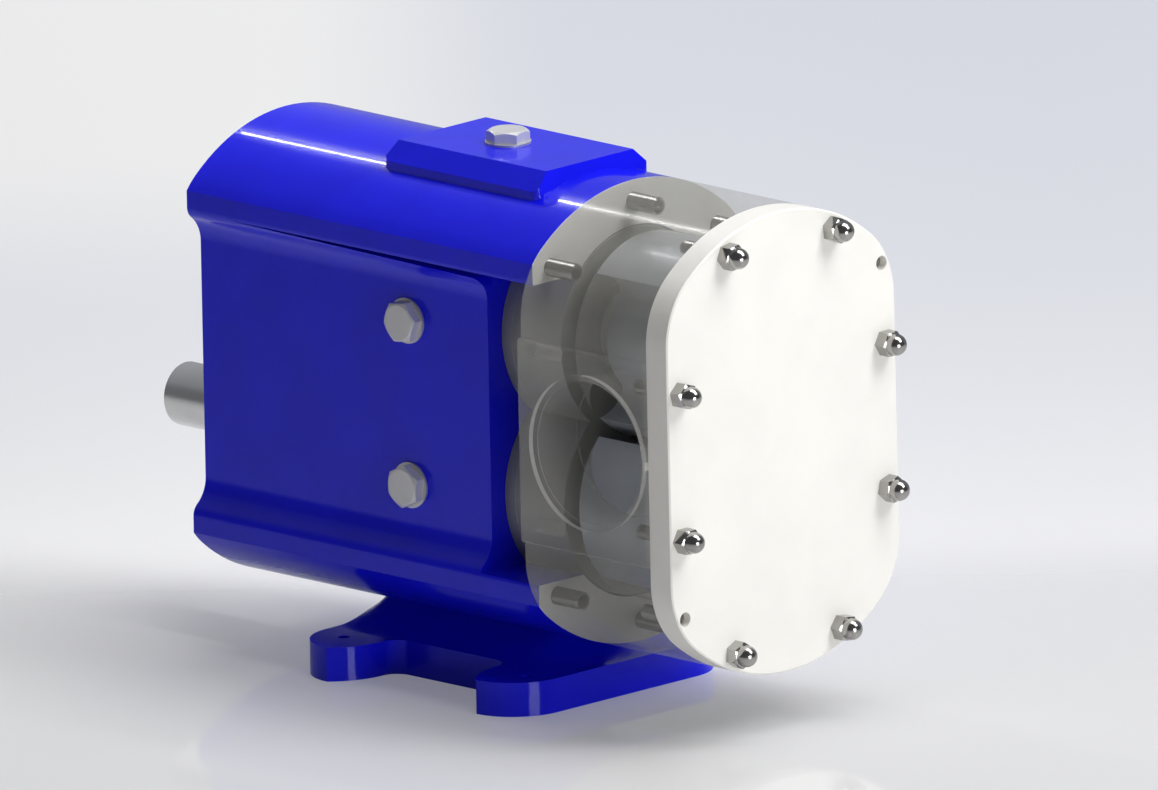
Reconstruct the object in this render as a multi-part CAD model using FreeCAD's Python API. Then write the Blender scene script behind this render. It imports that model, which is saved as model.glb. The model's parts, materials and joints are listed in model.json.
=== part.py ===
import FreeCAD, Part
import math
import os

# Rotary lobe pump: a gearbox on a foot carries two shafts that overhang into a
# clear rotor case, where two double-winged rotors turn in step.
# All sizes are in millimetres. x runs across the pump through both ports,
# y runs along the shafts from the front cover to the drive end, z is up.
# The origin is the middle of the four foot bolts, on the base.

Vector = FreeCAD.Vector

# Shaft layout
shaft_spacing = 90.0
lower_shaft_height = 116.0
joint_to_foot = 98.0

# Outline shared by cover, rotor case and gearbox
body_width = 176.0
crown_height = 128.7
crown_radius = 110.8
corner_radius = 47.7

# Front cover
cover_thickness = 16.0
cover_chamfer = 0.8

# Rotor case
case_depth = 96.0
chamber_radius = 57.0
chamber_depth = 85.5
side_pad_height = 3.0
side_pad_span = 114.0
side_pad_chamfer = 1.0
port_bore = 80.0
port_setback = 45.0
port_relief_bore = 82.0
port_seat_bore = 87.0
port_seat_depth = 3.0

# Cover studs, cap nuts and dowels
stud_diameter = 8.0
stud_inset = 9.0
side_stud_rise = 40.65
crown_stud_offset = 40.55
stud_depth_in_case = 16.0
stud_reach_in_nut = 9.0
cap_nut_flats = 13.0
cap_nut_hex_height = 7.5
cap_nut_height = 15.0
cap_nut_dome = 12.0
cap_nut_angle = 30.0
dowel_diameter = 8.0
dowel_inset = 5.5
dowel_angle = 26.3
dowel_depth = 14.0
dowel_recess = 5.0

# Gasket in the case's front face
gasket_track_radius = 65.0
gasket_width = 4.0
gasket_depth = 3.0

# Studs and tapped holes in the joint between case and gearbox
joint_stud_diameter = 10.0
joint_stud_depth_in_case = 20.0
joint_stud_depth_in_gearbox = 25.0
joint_stud_inset = 12.9
joint_stud_angle = 46.8
crown_joint_stud_inset = 11.7
guard_hole_diameter = 8.0
guard_hole_depth = 20.0
guard_hole_inset = 8.0
guard_hole_rise = 49.0

# Rotors
rotor_tip_clearance = 0.5
rotor_hub_clearance = 0.5
rotor_end_clearance = 0.3
wing_gap_angle = 1.4
wing_land_angle = 8.0
flank_point_count = 8
rotor_recess_radius = 23.0
rotor_recess_depth = 13.0
rotor_nut_flats = 36.0
rotor_nut_height = 11.0
rotor_key_width = 8.0
rotor_key_height = 7.0
rotor_key_length = 56.0

# Shafts
rotor_seat_diameter = 30.0
shaft_tip_diameter = 24.0
seal_seat_diameter = 35.0
bearing_bore = 40.0
shaft_body_diameter = 48.0
gear_seat_diameter = 42.0
shaft_extension = 77.0
extension_diameter = 35.0
shaft_chamfer = 0.5
keyway_width = 10.0
keyway_depth = 5.0
keyway_length = 56.0
keyway_setback = 6.0
keyway_angle = 22.5

# Gearbox housing
housing_length = 265.0
waist_width = 136.0
waist_fillet = 18.0
flare_width = 156.0
flare_flat = 9.2
flare_round = 8.0
housing_wall = 9.0
cavity_corner = 20.0
window_length = 45.5
window_half_height = 84.0
window_clearance = 1.0
front_wall = 28.0
relief_depth = 4.0
relief_length = 184.0
relief_height = 4.0
relief_tip_height = 0.2
panel_corner = 6.5

# Rear cover of the gearbox
rear_cover_width = 124.0
rear_cover_crown_inset = 7.0
rear_cover_corner = 24.0
rear_cover_thickness = 12.0
rear_rebate = 7.0
rear_opening_width = 101.0
rear_opening_crown_inset = 20.0
rear_boss_radius = 47.0
rear_screw_diameter = 5.0
rear_screw_length = 22.0
rear_screw_inset = 6.0
rear_screw_rises = (25.0, 68.0)
rear_screw_offset = 24.0

# Bearings
bearing_outside = 80.0
bearing_width = 18.0
bearing_pocket_spare = 2.0
race_thickness = 5.0
roller_count = 10
roller_length = 12.0
roller_play = 0.05
cage_bar_width = 3.0
cage_rim = 2.0

# Bearing retainer and shaft seals
retainer_radius = 57.5
retainer_thickness = 8.0
retainer_screw_diameter = 6.0
retainer_screw_length = 20.0
retainer_screw_radius = 50.0
retainer_screw_first_angle = 20.0
retainer_screw_step_angle = 70.0
retainer_screw_count = 3
oil_seal_radius = 28.0
oil_seal_width = 6.0
drive_seal_radius = 26.0
drive_seal_width = 7.0
drive_bore_clearance = 2.0
seal_housing_bore = 62.0
stationary_ring_radius = 24.0
stationary_ring_length = 9.0
stationary_ring_proud = 3.0
seal_ring_radius = 23.0
seal_ring_length = 8.0
seal_collar_radius = 26.0
seal_collar_length = 15.0
seal_face_gap = 0.1
set_screw_diameter = 5.0

# Timing gears
gear_teeth = 20
gear_width = 32.0
pressure_angle = 20.0
gear_backlash = 0.3
gear_root_ratio = 1.25
tooth_point_count = 3
gear_dish_inner = 28.0
gear_dish_outer = 36.0
gear_dish_depth = 5.0
gear_setback = 77.0
gear_key_width = 12.0
gear_key_height = 8.0
gear_key_length = 28.0
lock_nut_radius = 29.0
lock_nut_width = 10.0
lock_nut_slot_width = 6.0
lock_nut_slot_depth = 3.0
lock_nut_slot_count = 4
spacer_radius = 25.0

# Filler pad on the crown
filler_pad_length = 119.0
filler_pad_width = 87.0
filler_pad_height = 6.0
filler_pad_bevel = 10.0
filler_pad_end_bevel = 3.0
filler_pad_corner = 5.0
filler_pad_root = 27.7
filler_pad_setback = 89.0
filler_plug_setback = 6.0

# Hexagon plugs
plug_flats = 21.0
plug_head_height = 6.5
plug_thread_diameter = 18.0
plug_thread_beyond_wall = 3.0
plug_washer_diameter = 25.4
plug_washer_thickness = 1.2
upper_plug_angle = 8.0
lower_plug_angle = 25.0
side_plug_inset = 20.0
side_plug_setback = 107.0

# Foot
foot_thickness = 19.0
foot_width = 170.0
foot_length = 176.5
foot_setback = 2.5
foot_corner = 31.0
foot_ear_flank = 40.0
foot_notch_half = 44.0
foot_notch_fillet = 10.0
foot_bolt_spacing_x = 122.0
foot_bolt_spacing_y = 140.0
foot_bolt_hole = 6.4
saddle_length = 124.0
saddle_width = 23.0
saddle_setback = 13.75
saddle_fillet = 38.0
saddle_corner = 4.0
foot_screw_diameter = 10.0
foot_screw_offset_x = 12.0
foot_screw_offset_y = 49.0
foot_screw_length = 35.0
foot_screw_sink = 14.0
foot_boss_radius = 11.0
foot_boss_height = 26.0
foot_hole_spare = 3.0

# Screw proportions and fits
head_ratio = 0.8
socket_ratio = 0.8
socket_depth_ratio = 0.5
key_sink_ratio = 0.55
fit_clearance = 0.05
running_clearance = 0.3
hole_clearance = 0.4
same_plane = 0.01
same_point = 0.000001
full_angle = 360.0
straight_angle = 180.0
right_angle = 90.0
hexagon_sides = 6

# Planes and axes that follow from the sizes above
joint_y = -joint_to_foot
case_front_y = joint_y - case_depth
cover_front_y = case_front_y - cover_thickness
chamber_rear_y = case_front_y + chamber_depth
port_y = case_front_y + port_setback
window_end_y = joint_y + window_length
front_wall_end_y = window_end_y + front_wall
rear_y = joint_y + housing_length
rear_seat_y = rear_y - rear_rebate
rear_cover_end_y = rear_seat_y + rear_cover_thickness
pump_z = lower_shaft_height + shaft_spacing / 2
lower_z = lower_shaft_height
upper_z = lower_shaft_height + shaft_spacing
crown_offset = crown_height - crown_radius
half_body = body_width / 2
half_waist = waist_width / 2
half_flare = flare_width / 2
corner_across = half_body - corner_radius
corner_up = crown_offset + math.sqrt((crown_radius - corner_radius) ** 2 - corner_across ** 2)
flare_cut = math.acos((half_flare - corner_across) / corner_radius)
waist_reach = waist_fillet + flare_round
waist_swing = math.acos((waist_reach - half_flare + half_waist) / waist_reach)
flare_rise = corner_up + corner_radius * math.sin(flare_cut) - flare_flat
waist_rise = flare_rise - waist_reach * math.sin(waist_swing)
side_plug_rise = waist_rise - side_plug_inset
side_face = half_body + side_pad_height
bearing_pocket_depth = bearing_width + bearing_pocket_spare
front_bearing_y = window_end_y + bearing_pocket_depth - bearing_width
rear_bearing_y = rear_seat_y - bearing_width
rear_boss_start_y = rear_seat_y - bearing_pocket_depth
gear_start_y = rear_y - gear_setback
gear_end_y = gear_start_y + gear_width
rotor_start_y = case_front_y + rotor_end_clearance
rotor_end_y = chamber_rear_y - rotor_end_clearance
rotor_radius = chamber_radius - rotor_tip_clearance
rotor_hub_radius = shaft_spacing - rotor_radius - rotor_hub_clearance
levels = ((lower_z, 1), (upper_z, -1))


class Arc:
    """A round stretch of an outline, by centre, radius and angles in degrees."""

    def __init__(self, u, v, radius, start, end):
        self.centre = (u, v)
        self.radius = radius
        self.start = start
        self.end = end

    def point(self, angle):
        turn = math.radians(angle)
        u, v = self.centre
        return (u + self.radius * math.cos(turn), v + self.radius * math.sin(turn))

    def first(self):
        return self.point(self.start)

    def last(self):
        return self.point(self.end)

    def edges(self, place):
        middle = self.point((self.start + self.end) / 2)
        ends = [place(*self.first()), place(*middle), place(*self.last())]
        return [Part.Arc(*ends).toShape()]


class Corner:
    """A single point of an outline, where two straight runs meet."""

    def __init__(self, u, v):
        self.spot = (u, v)

    def first(self):
        return self.spot

    def last(self):
        return self.spot

    def edges(self, place):
        return []


class Flank:
    """A smooth stretch of an outline through points of a formula."""

    def __init__(self, points):
        self.points = points

    def first(self):
        return self.points[0]

    def last(self):
        return self.points[-1]

    def edges(self, place):
        curve = Part.BSplineCurve()
        curve.interpolate([place(*point) for point in self.points])
        return [curve.toShape()]


def on_section(u, v):
    """Puts an outline on the plane across the shafts."""
    return Vector(u, 0, v)


def on_plan(u, v):
    """Puts an outline on the base plane."""
    return Vector(u, v, 0)


def on_side(u, v):
    """Puts an outline on the middle plane that holds both shafts."""
    return Vector(0, u, v)


def closed_face(items, place):
    """Joins the items in their order, with straight runs between them."""
    edges = []
    for index, item in enumerate(items):
        following = items[(index + 1) % len(items)]
        edges += item.edges(place)
        start = place(*item.last())
        end = place(*following.first())
        if start.distanceToPoint(end) > same_point:
            edges.append(Part.LineSegment(start, end).toShape())
    return Part.Face(Part.Wire(edges))


def bar(items, start, end):
    """A solid with the given cross section between two planes along the shafts."""
    face = closed_face(items, on_section)
    face.translate(Vector(0, start, 0))
    return face.extrude(Vector(0, end - start, 0))


def round_bar(radius, start, end, x, z):
    """A cylinder along the shafts."""
    return Part.makeCylinder(radius, end - start, Vector(x, start, z), Vector(0, 1, 0))


def tube(outer, inner, start, end, x, z):
    """A ring along the shafts."""
    return round_bar(outer, start, end, x, z).cut(round_bar(inner, start, end, x, z))


def cross_bar(radius, start, end, y, z):
    """A cylinder across the pump."""
    return Part.makeCylinder(radius, end - start, Vector(start, y, z), Vector(1, 0, 0))


def post(radius, low, high, x, y):
    """An upright cylinder."""
    return Part.makeCylinder(radius, high - low, Vector(x, y, low), Vector(0, 0, 1))


def block(x_span, y_span, z_span):
    """A rectangular solid between three pairs of planes."""
    size = [span[1] - span[0] for span in (x_span, y_span, z_span)]
    return Part.makeBox(*size, Vector(x_span[0], y_span[0], z_span[0]))


def polar(radius, angle, z=0.0):
    """A point of the cross section, by radius and angle about a shaft."""
    turn = math.radians(angle)
    return (radius * math.cos(turn), z + radius * math.sin(turn))


def hexagon(flats, x, z, first_angle=0.0):
    """The corners of a hexagon about a point, by its size across flats."""
    reach = flats / math.sqrt(3)
    sixth = full_angle / hexagon_sides
    spots = [polar(reach, first_angle + sixth * step, z) for step in range(hexagon_sides)]
    return [Corner(x + spot[0], spot[1]) for spot in spots]


def joined(shapes):
    """One solid from pieces that touch or overlap."""
    whole = shapes[0].multiFuse(shapes[1:])
    return whole.removeSplitter()


def save(name, *solids):
    """Writes the solids of one node."""
    shape = solids[0] if len(solids) == 1 else Part.makeCompound(list(solids))
    shape.exportStep("parts/" + name + ".step")


def corner_centre(half_width, radius, corner):
    """Centre of the rounding between a straight side and the crown, top right."""
    across = half_width - corner
    up = crown_offset + math.sqrt((radius - corner) ** 2 - across ** 2)
    return across, up


def crowned(half_width, radius, corner):
    """Outline with straight sides, arched top and bottom, and round corners."""
    across, up = corner_centre(half_width, radius, corner)
    lean = math.degrees(math.atan2(up - crown_offset, across))
    top = pump_z + up
    low = pump_z - up
    return [
        Arc(across, top, corner, 0, lean),
        Arc(0, pump_z + crown_offset, radius, lean, straight_angle - lean),
        Arc(-across, top, corner, straight_angle - lean, straight_angle),
        Arc(-across, low, corner, straight_angle, straight_angle + lean),
        Arc(0, pump_z - crown_offset, radius, straight_angle + lean, full_angle - lean),
        Arc(across, low, corner, full_angle - lean, full_angle),
    ]


def body_outline(inset=0.0):
    """The outline that cover, case and gearbox share, moved inwards by inset."""
    return crowned(half_body - inset, crown_radius - inset, corner_radius - inset)


def waisted_outline():
    """Gearbox outline: the shared one, cut flat at the flares and drawn in between."""
    across = corner_across
    up = corner_up
    lean = math.degrees(math.atan2(up - crown_offset, across))
    cut = math.degrees(flare_cut)
    swing = math.degrees(waist_swing)
    round_up = waist_rise + waist_reach * math.sin(waist_swing)
    fillet_x = half_waist + waist_fillet
    round_x = half_flare - flare_round
    top = pump_z + up
    low = pump_z - up
    return [
        Arc(fillet_x, pump_z + waist_rise, waist_fillet, straight_angle, straight_angle - swing),
        Arc(round_x, pump_z + round_up, flare_round, -swing, 0),
        Arc(across, top, corner_radius, cut, lean),
        Arc(0, pump_z + crown_offset, crown_radius, lean, straight_angle - lean),
        Arc(-across, top, corner_radius, straight_angle - lean, straight_angle - cut),
        Arc(-round_x, pump_z + round_up, flare_round, straight_angle, straight_angle + swing),
        Arc(-fillet_x, pump_z + waist_rise, waist_fillet, swing, 0),
        Arc(-fillet_x, pump_z - waist_rise, waist_fillet, 0, -swing),
        Arc(-round_x, pump_z - round_up, flare_round, straight_angle - swing, straight_angle),
        Arc(-across, low, corner_radius, straight_angle + cut, straight_angle + lean),
        Arc(0, pump_z - crown_offset, crown_radius, straight_angle + lean, full_angle - lean),
        Arc(across, low, corner_radius, full_angle - lean, full_angle - cut),
        Arc(round_x, pump_z - round_up, flare_round, 0, swing),
        Arc(fillet_x, pump_z - waist_rise, waist_fillet, straight_angle + swing, straight_angle),
    ]


def pair_of_bars(radius, start, end):
    """Two overlapping cylinders, one about each shaft, as one solid."""
    lower = round_bar(radius, start, end, 0, lower_z)
    upper = round_bar(radius, start, end, 0, upper_z)
    return joined([lower, upper])


def crown_point(inset, offset):
    """Place of a fixing at a distance from the crown's edge and the middle plane."""
    return crown_offset + math.sqrt((crown_radius - inset) ** 2 - offset ** 2)


def corner_point(inset, angle):
    """Place of a fixing at a distance from the edge in a round corner."""
    turn = math.radians(angle)
    reach = corner_radius - inset
    return corner_across + reach * math.cos(turn), corner_up + reach * math.sin(turn)


def four_ways(x, rise):
    """A place and its three mirror images about the pump's centre."""
    return [(side * x, pump_z + way * rise) for side in (1, -1) for way in (1, -1)]


def cover_stud_places():
    """Centres of the eight studs that hold the front cover."""
    sides = four_ways(half_body - stud_inset, side_stud_rise)
    crowns = four_ways(crown_stud_offset, crown_point(stud_inset, crown_stud_offset))
    return sides + crowns


def dowel_places():
    """Centres of the two dowels, in opposite corners of the cover."""
    x, rise = corner_point(dowel_inset, dowel_angle)
    return [(x, pump_z + rise), (-x, pump_z - rise)]


def joint_stud_places():
    """Centres of the six studs between the gearbox and the rotor case."""
    x, rise = corner_point(joint_stud_inset, joint_stud_angle)
    crown = crown_point(crown_joint_stud_inset, 0)
    return four_ways(x, rise) + [(0, pump_z + crown), (0, pump_z - crown)]


def rear_screw_places():
    """Centres of the twelve screws of the rear cover."""
    half = rear_cover_width / 2 - rear_screw_inset
    places = []
    for rise in rear_screw_rises:
        places += four_ways(half, rise)
    crown = crown_point(rear_cover_crown_inset + rear_screw_inset, rear_screw_offset)
    return places + four_ways(rear_screw_offset, crown)


def retainer_screw_places():
    """Centres of the screws round the outer halves of the retainer plate."""
    places = []
    for z, way in ((lower_z, -1), (upper_z, 1)):
        for step in range(retainer_screw_count):
            angle = retainer_screw_first_angle + step * retainer_screw_step_angle
            places.append(polar(retainer_screw_radius, way * angle, z))
    return places


def socket_screw(diameter, length, seat_y, x, z, way):
    """Cap screw whose head stands on seat_y and whose shank runs towards way."""
    head = head_ratio * diameter
    key = hexagon(socket_ratio * diameter, x, z)
    top = seat_y - way * diameter
    floor = top + way * socket_depth_ratio * diameter
    tip = seat_y + way * length
    whole = joined([
        round_bar(head, min(seat_y, top), max(seat_y, top), x, z),
        round_bar(diameter / 2, min(seat_y, tip), max(seat_y, tip), x, z),
    ])
    return whole.cut(bar(key, min(top, floor), max(top, floor)))


def lay_along_x(shape, side):
    """Turns an upright piece so that its top points outwards at one side."""
    turned = shape.copy()
    turned.rotate(Vector(0, 0, 0), Vector(0, 1, 0), right_angle * side)
    return turned


def front_cover():
    """Flat cover plate with stud holes and two open dowel holes."""
    plate = bar(body_outline(), cover_front_y, case_front_y)
    rim = [edge for edge in plate.Edges if edge.BoundBox.YMax < cover_front_y + same_plane]
    plate = plate.makeChamfer(cover_chamfer, rim)
    holes = []
    for x, z in cover_stud_places():
        radius = (stud_diameter + hole_clearance) / 2
        holes.append(round_bar(radius, cover_front_y, case_front_y, x, z))
    for x, z in dowel_places():
        holes.append(round_bar(dowel_diameter / 2 + fit_clearance, cover_front_y, case_front_y, x, z))
    return plate.cut(holes)


def gasket_ring(play):
    """Race-track ring round both rotor bores, in the case's front face."""
    inner = gasket_track_radius - gasket_width / 2 - play
    outer = gasket_track_radius + gasket_width / 2 + play
    end_y = case_front_y + gasket_depth + play

    def track(radius):
        above = Arc(0, upper_z, radius, 0, straight_angle)
        below = Arc(0, lower_z, radius, straight_angle, full_angle)
        return bar([above, below], case_front_y, end_y)

    return track(outer).cut(track(inner))


def port_cutter():
    """Both ports: a bore from each side, eased over the rotors, and a seat at each mouth."""
    seat_x = side_face - port_seat_depth
    tools = [cross_bar(port_bore / 2, -side_face, side_face, port_y, pump_z)]
    tools.append(cross_bar(port_relief_bore / 2, -chamber_radius, chamber_radius, port_y, pump_z))
    for start in (-side_face, seat_x):
        tools.append(cross_bar(port_seat_bore / 2, start, start + port_seat_depth, port_y, pump_z))
    return tools


def rotor_case():
    """Clear case with two overlapping rotor bores, side ports and flat side pads."""
    shell = bar(body_outline(), case_front_y, joint_y)
    half_pad = side_pad_span / 2
    pads = block((-side_face, side_face), (case_front_y, joint_y), (pump_z - half_pad, pump_z + half_pad))
    long_edges = [edge for edge in pads.Edges if edge.BoundBox.YLength > case_depth / 2]
    pads = pads.makeChamfer(side_pad_chamfer, long_edges)
    case = joined([shell, pads])
    tools = [pair_of_bars(chamber_radius, case_front_y, chamber_rear_y)]
    tools += port_cutter()
    for z, _ in levels:
        ring = stationary_ring_radius + fit_clearance
        tools.append(round_bar(ring, chamber_rear_y, joint_y, 0, z))
    for x, z in cover_stud_places():
        end_y = case_front_y + stud_depth_in_case
        tools.append(round_bar(stud_diameter / 2 + fit_clearance, case_front_y, end_y, x, z))
    for x, z in dowel_places():
        end_y = case_front_y + dowel_depth
        tools.append(round_bar(dowel_diameter / 2 + fit_clearance, case_front_y, end_y, x, z))
    for x, z in joint_stud_places():
        radius = joint_stud_diameter / 2 + fit_clearance
        tools.append(round_bar(radius, joint_y - joint_stud_depth_in_case, joint_y, x, z))
    for x, z in four_ways(half_body - guard_hole_inset, guard_hole_rise):
        tools.append(round_bar(guard_hole_diameter / 2, joint_y - guard_hole_depth, joint_y, x, z))
    tools.append(gasket_ring(fit_clearance))
    return case.cut(tools)


def cap_nut(x, z):
    """Hexagon nut with a domed cap over the end of its stud."""
    seat = cover_front_y
    hex_end = seat - cap_nut_hex_height
    tip = seat - cap_nut_height
    dome = cap_nut_dome / 2
    blank = bar(hexagon(cap_nut_flats, x, z, cap_nut_angle), hex_end, seat)
    neck = round_bar(dome, tip + dome, seat, x, z)
    ball = Part.makeSphere(dome, Vector(x, tip + dome, z))
    whole = joined([blank, neck, ball])
    stud_tip = seat - stud_reach_in_nut
    return whole.cut(round_bar(stud_diameter / 2 + fit_clearance, stud_tip, seat, x, z))


def cover_fixings():
    """Studs, cap nuts and dowels of the front cover."""
    studs = []
    nuts = []
    dowels = []
    for x, z in cover_stud_places():
        start = cover_front_y - stud_reach_in_nut
        studs.append(round_bar(stud_diameter / 2, start, case_front_y + stud_depth_in_case, x, z))
        nuts.append(cap_nut(x, z))
    for x, z in dowel_places():
        start = cover_front_y + dowel_recess
        dowels.append(round_bar(dowel_diameter / 2, start, case_front_y + dowel_depth, x, z))
    save("cover_studs", *studs)
    save("cap_nuts", *nuts)
    save("cover_dowels", *dowels)


def joint_studs():
    """Studs that join the gearbox lobes to the rotor case."""
    ends = (joint_y - joint_stud_depth_in_case, joint_y + joint_stud_depth_in_gearbox)
    return [round_bar(joint_stud_diameter / 2, *ends, x, z) for x, z in joint_stud_places()]


def wing_half_angle(turn):
    """Radius and half angle of a wing's flank that just clears the other rotor's corner.

    turn is the angle that the other rotor has turned its corner away from the
    line between the shafts.
    """
    wing = (right_angle - wing_gap_angle) / 2
    along = shaft_spacing - rotor_radius * math.cos(turn)
    aside = rotor_radius * math.sin(turn)
    radius = math.hypot(along, aside)
    gap = wing + math.degrees(math.atan2(aside, along) - turn)
    return radius, right_angle - gap - wing_gap_angle


def rotor_outline(z, first_wing):
    """Cross section of a rotor with two wings, the first at the given angle."""
    wing = (right_angle - wing_gap_angle) / 2
    last_turn = math.acos(shaft_spacing / (2 * rotor_radius))
    steps = flank_point_count
    flank = [wing_half_angle(last_turn * step / steps) for step in range(steps + 1)]
    foot_radius = shaft_spacing - rotor_radius
    stretch = (rotor_radius - rotor_hub_radius) / (rotor_radius - foot_radius)
    flank = [(rotor_radius - (rotor_radius - r) * stretch, angle) for r, angle in flank]
    items = []
    for middle in (first_wing, first_wing + straight_angle):
        land = middle - wing + wing_land_angle
        items.append(Flank([polar(r, middle - angle, z) for r, angle in flank]))
        items.append(Arc(0, z, rotor_radius, land, middle + wing - wing_land_angle))
        items.append(Flank([polar(r, middle + angle, z) for r, angle in reversed(flank)]))
        items.append(Arc(0, z, rotor_hub_radius, middle + wing, middle + straight_angle - wing))
    return items


def rotor_key(z, play):
    """Flat key between a rotor and its shaft."""
    width = rotor_key_width / 2 + play
    seat = rotor_seat_diameter / 2
    middle = (rotor_start_y + rotor_recess_depth + rotor_end_y) / 2
    ends = (middle - rotor_key_length / 2 - play, middle + rotor_key_length / 2 + play)
    low = z + seat - rotor_key_height * key_sink_ratio - play
    return block((-width, width), ends, (low, low + rotor_key_height + 2 * play))


def rotor(z, first_wing):
    """Double-winged rotor on its shaft end, with a recess for the nut."""
    blank = bar(rotor_outline(z, first_wing), rotor_start_y, rotor_end_y)
    bore = round_bar(rotor_seat_diameter / 2 + fit_clearance, rotor_start_y, rotor_end_y, 0, z)
    recess_end = rotor_start_y + rotor_recess_depth
    recess = round_bar(rotor_recess_radius, rotor_start_y, recess_end, 0, z)
    return blank.cut([bore, recess, rotor_key(z, fit_clearance)])


def rotor_nut(z):
    """Nut that clamps a rotor against its shaft's shoulder."""
    end_y = rotor_start_y + rotor_recess_depth
    blank = bar(hexagon(rotor_nut_flats, 0, z), end_y - rotor_nut_height, end_y)
    return blank.cut(round_bar(shaft_tip_diameter / 2 + fit_clearance, blank.BoundBox.YMin, end_y, 0, z))


def gear_key(z, play):
    """Flat key between a timing gear and its shaft."""
    width = gear_key_width / 2 + play
    seat = gear_seat_diameter / 2
    middle = (gear_start_y + gear_end_y) / 2
    ends = (middle - gear_key_length / 2 - play, middle + gear_key_length / 2 + play)
    low = z + seat - gear_key_height * key_sink_ratio - play
    return block((-width, width), ends, (low, low + gear_key_height + 2 * play))


def coupling_keyway():
    """Round-ended slot for the coupling's key."""
    half = keyway_width / 2
    radius = extension_diameter / 2
    end = rear_cover_end_y + shaft_extension - keyway_setback - half
    start = end - keyway_length + keyway_width
    floor = radius - keyway_depth
    slot = block((floor, radius), (start, end), (lower_z - half, lower_z + half))
    ends = [cross_bar(half, floor, radius, y, lower_z) for y in (start, end)]
    slot = joined([slot] + ends)
    slot.rotate(Vector(0, 0, lower_z), Vector(0, 1, 0), -keyway_angle)
    return slot


def stepped_shaft(z, steps):
    """A shaft turned in steps, given as end plane and diameter from the front."""
    start = rotor_start_y + rotor_recess_depth - rotor_nut_height
    sections = []
    for end, diameter in steps:
        sections.append(round_bar(diameter / 2, start, end, 0, z))
        start = end
    shaft = joined(sections)
    ends = (shaft.BoundBox.YMin, shaft.BoundBox.YMax)
    faces = [face for face in shaft.Faces if face.BoundBox.YLength < same_plane]
    tips = [face for face in faces if min(abs(face.BoundBox.YMin - end) for end in ends) < same_plane]
    rims = [edge for face in tips for edge in face.Edges]
    shaft = shaft.makeChamfer(shaft_chamfer, rims)
    return shaft.cut([rotor_key(z, 0), gear_key(z, 0)])


def common_steps():
    """The steps that both shafts have, up to the rear bearing."""
    lock_end = gear_end_y + lock_nut_width
    return [
        (rotor_start_y + rotor_recess_depth, shaft_tip_diameter),
        (rotor_end_y, rotor_seat_diameter),
        (window_end_y, seal_seat_diameter),
        (front_bearing_y + bearing_width, bearing_bore),
        (gear_start_y, shaft_body_diameter),
        (lock_end, gear_seat_diameter),
    ]


def drive_shaft():
    """Lower shaft: runs out of the rear cover to the coupling."""
    steps = common_steps()
    steps.append((rear_cover_end_y, bearing_bore))
    steps.append((rear_cover_end_y + shaft_extension, extension_diameter))
    return stepped_shaft(lower_z, steps).cut(coupling_keyway())


def driven_shaft():
    """Upper shaft: ends in the rear bearing."""
    steps = common_steps()
    steps.append((rear_seat_y - running_clearance, bearing_bore))
    return stepped_shaft(upper_z, steps)


def gear_outline(z, phase):
    """Involute gear outline with a tooth at the given angle."""
    pitch_radius = shaft_spacing / 2
    module = shaft_spacing / gear_teeth
    outer = pitch_radius + module
    root = pitch_radius - gear_root_ratio * module
    pressure = math.radians(pressure_angle)
    base = pitch_radius * math.cos(pressure)
    pitch_half = math.pi / (2 * gear_teeth) - gear_backlash / (4 * pitch_radius)
    at_pitch = math.tan(pressure) - pressure

    def half_angle(radius):
        lean = math.acos(base / radius)
        return math.degrees(pitch_half + at_pitch - math.tan(lean) + lean)

    steps = tooth_point_count
    radii = [base + (outer - base) * step / steps for step in range(steps + 1)]
    pitch_angle = full_angle / gear_teeth
    root_half = half_angle(base)
    items = []
    for tooth in range(gear_teeth):
        middle = phase + tooth * pitch_angle
        items.append(Arc(0, z, root, middle - pitch_angle + root_half, middle - root_half))
        items.append(Flank([polar(r, middle - half_angle(r), z) for r in radii]))
        items.append(Flank([polar(r, middle + half_angle(r), z) for r in reversed(radii)]))
    return items


def timing_gear(z, phase):
    """Timing gear with dished faces and a keyed bore."""
    blank = bar(gear_outline(z, phase), gear_start_y, gear_end_y)
    tools = [round_bar(gear_seat_diameter / 2 + fit_clearance, gear_start_y, gear_end_y, 0, z)]
    for start in (gear_start_y, gear_end_y - gear_dish_depth):
        tools.append(tube(gear_dish_outer, gear_dish_inner, start, start + gear_dish_depth, 0, z))
    tools.append(gear_key(z, fit_clearance))
    return blank.cut(tools)


def lock_nut(z):
    """Slotted ring nut behind a timing gear."""
    end_y = gear_end_y + lock_nut_width
    bore = gear_seat_diameter / 2 + fit_clearance
    ring = tube(lock_nut_radius, bore, gear_end_y, end_y, 0, z)
    half = lock_nut_slot_width / 2
    floor = lock_nut_radius - lock_nut_slot_depth
    slots = []
    step_angle = full_angle / lock_nut_slot_count
    for quarter in range(lock_nut_slot_count):
        slot = block((floor, lock_nut_radius), (gear_end_y, end_y), (z - half, z + half))
        slot.rotate(Vector(0, 0, z), Vector(0, 1, 0), step_angle * quarter)
        slots.append(slot)
    return ring.cut(slots)


def bearing_starts():
    """Front planes of the bearings at both ends of the gearbox."""
    return (front_bearing_y, rear_bearing_y)


def race_radii():
    """Radii of the rollers' circle and of one roller."""
    inner = bearing_bore / 2 + race_thickness
    outer = bearing_outside / 2 - race_thickness
    return (inner + outer) / 2, (outer - inner) / 2 - roller_play


def inner_races(z):
    """Inner rings of one shaft's two bearings."""
    bore = bearing_bore / 2 + fit_clearance
    outer = bearing_bore / 2 + race_thickness
    return [tube(outer, bore, y, y + bearing_width, 0, z) for y in bearing_starts()]


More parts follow.
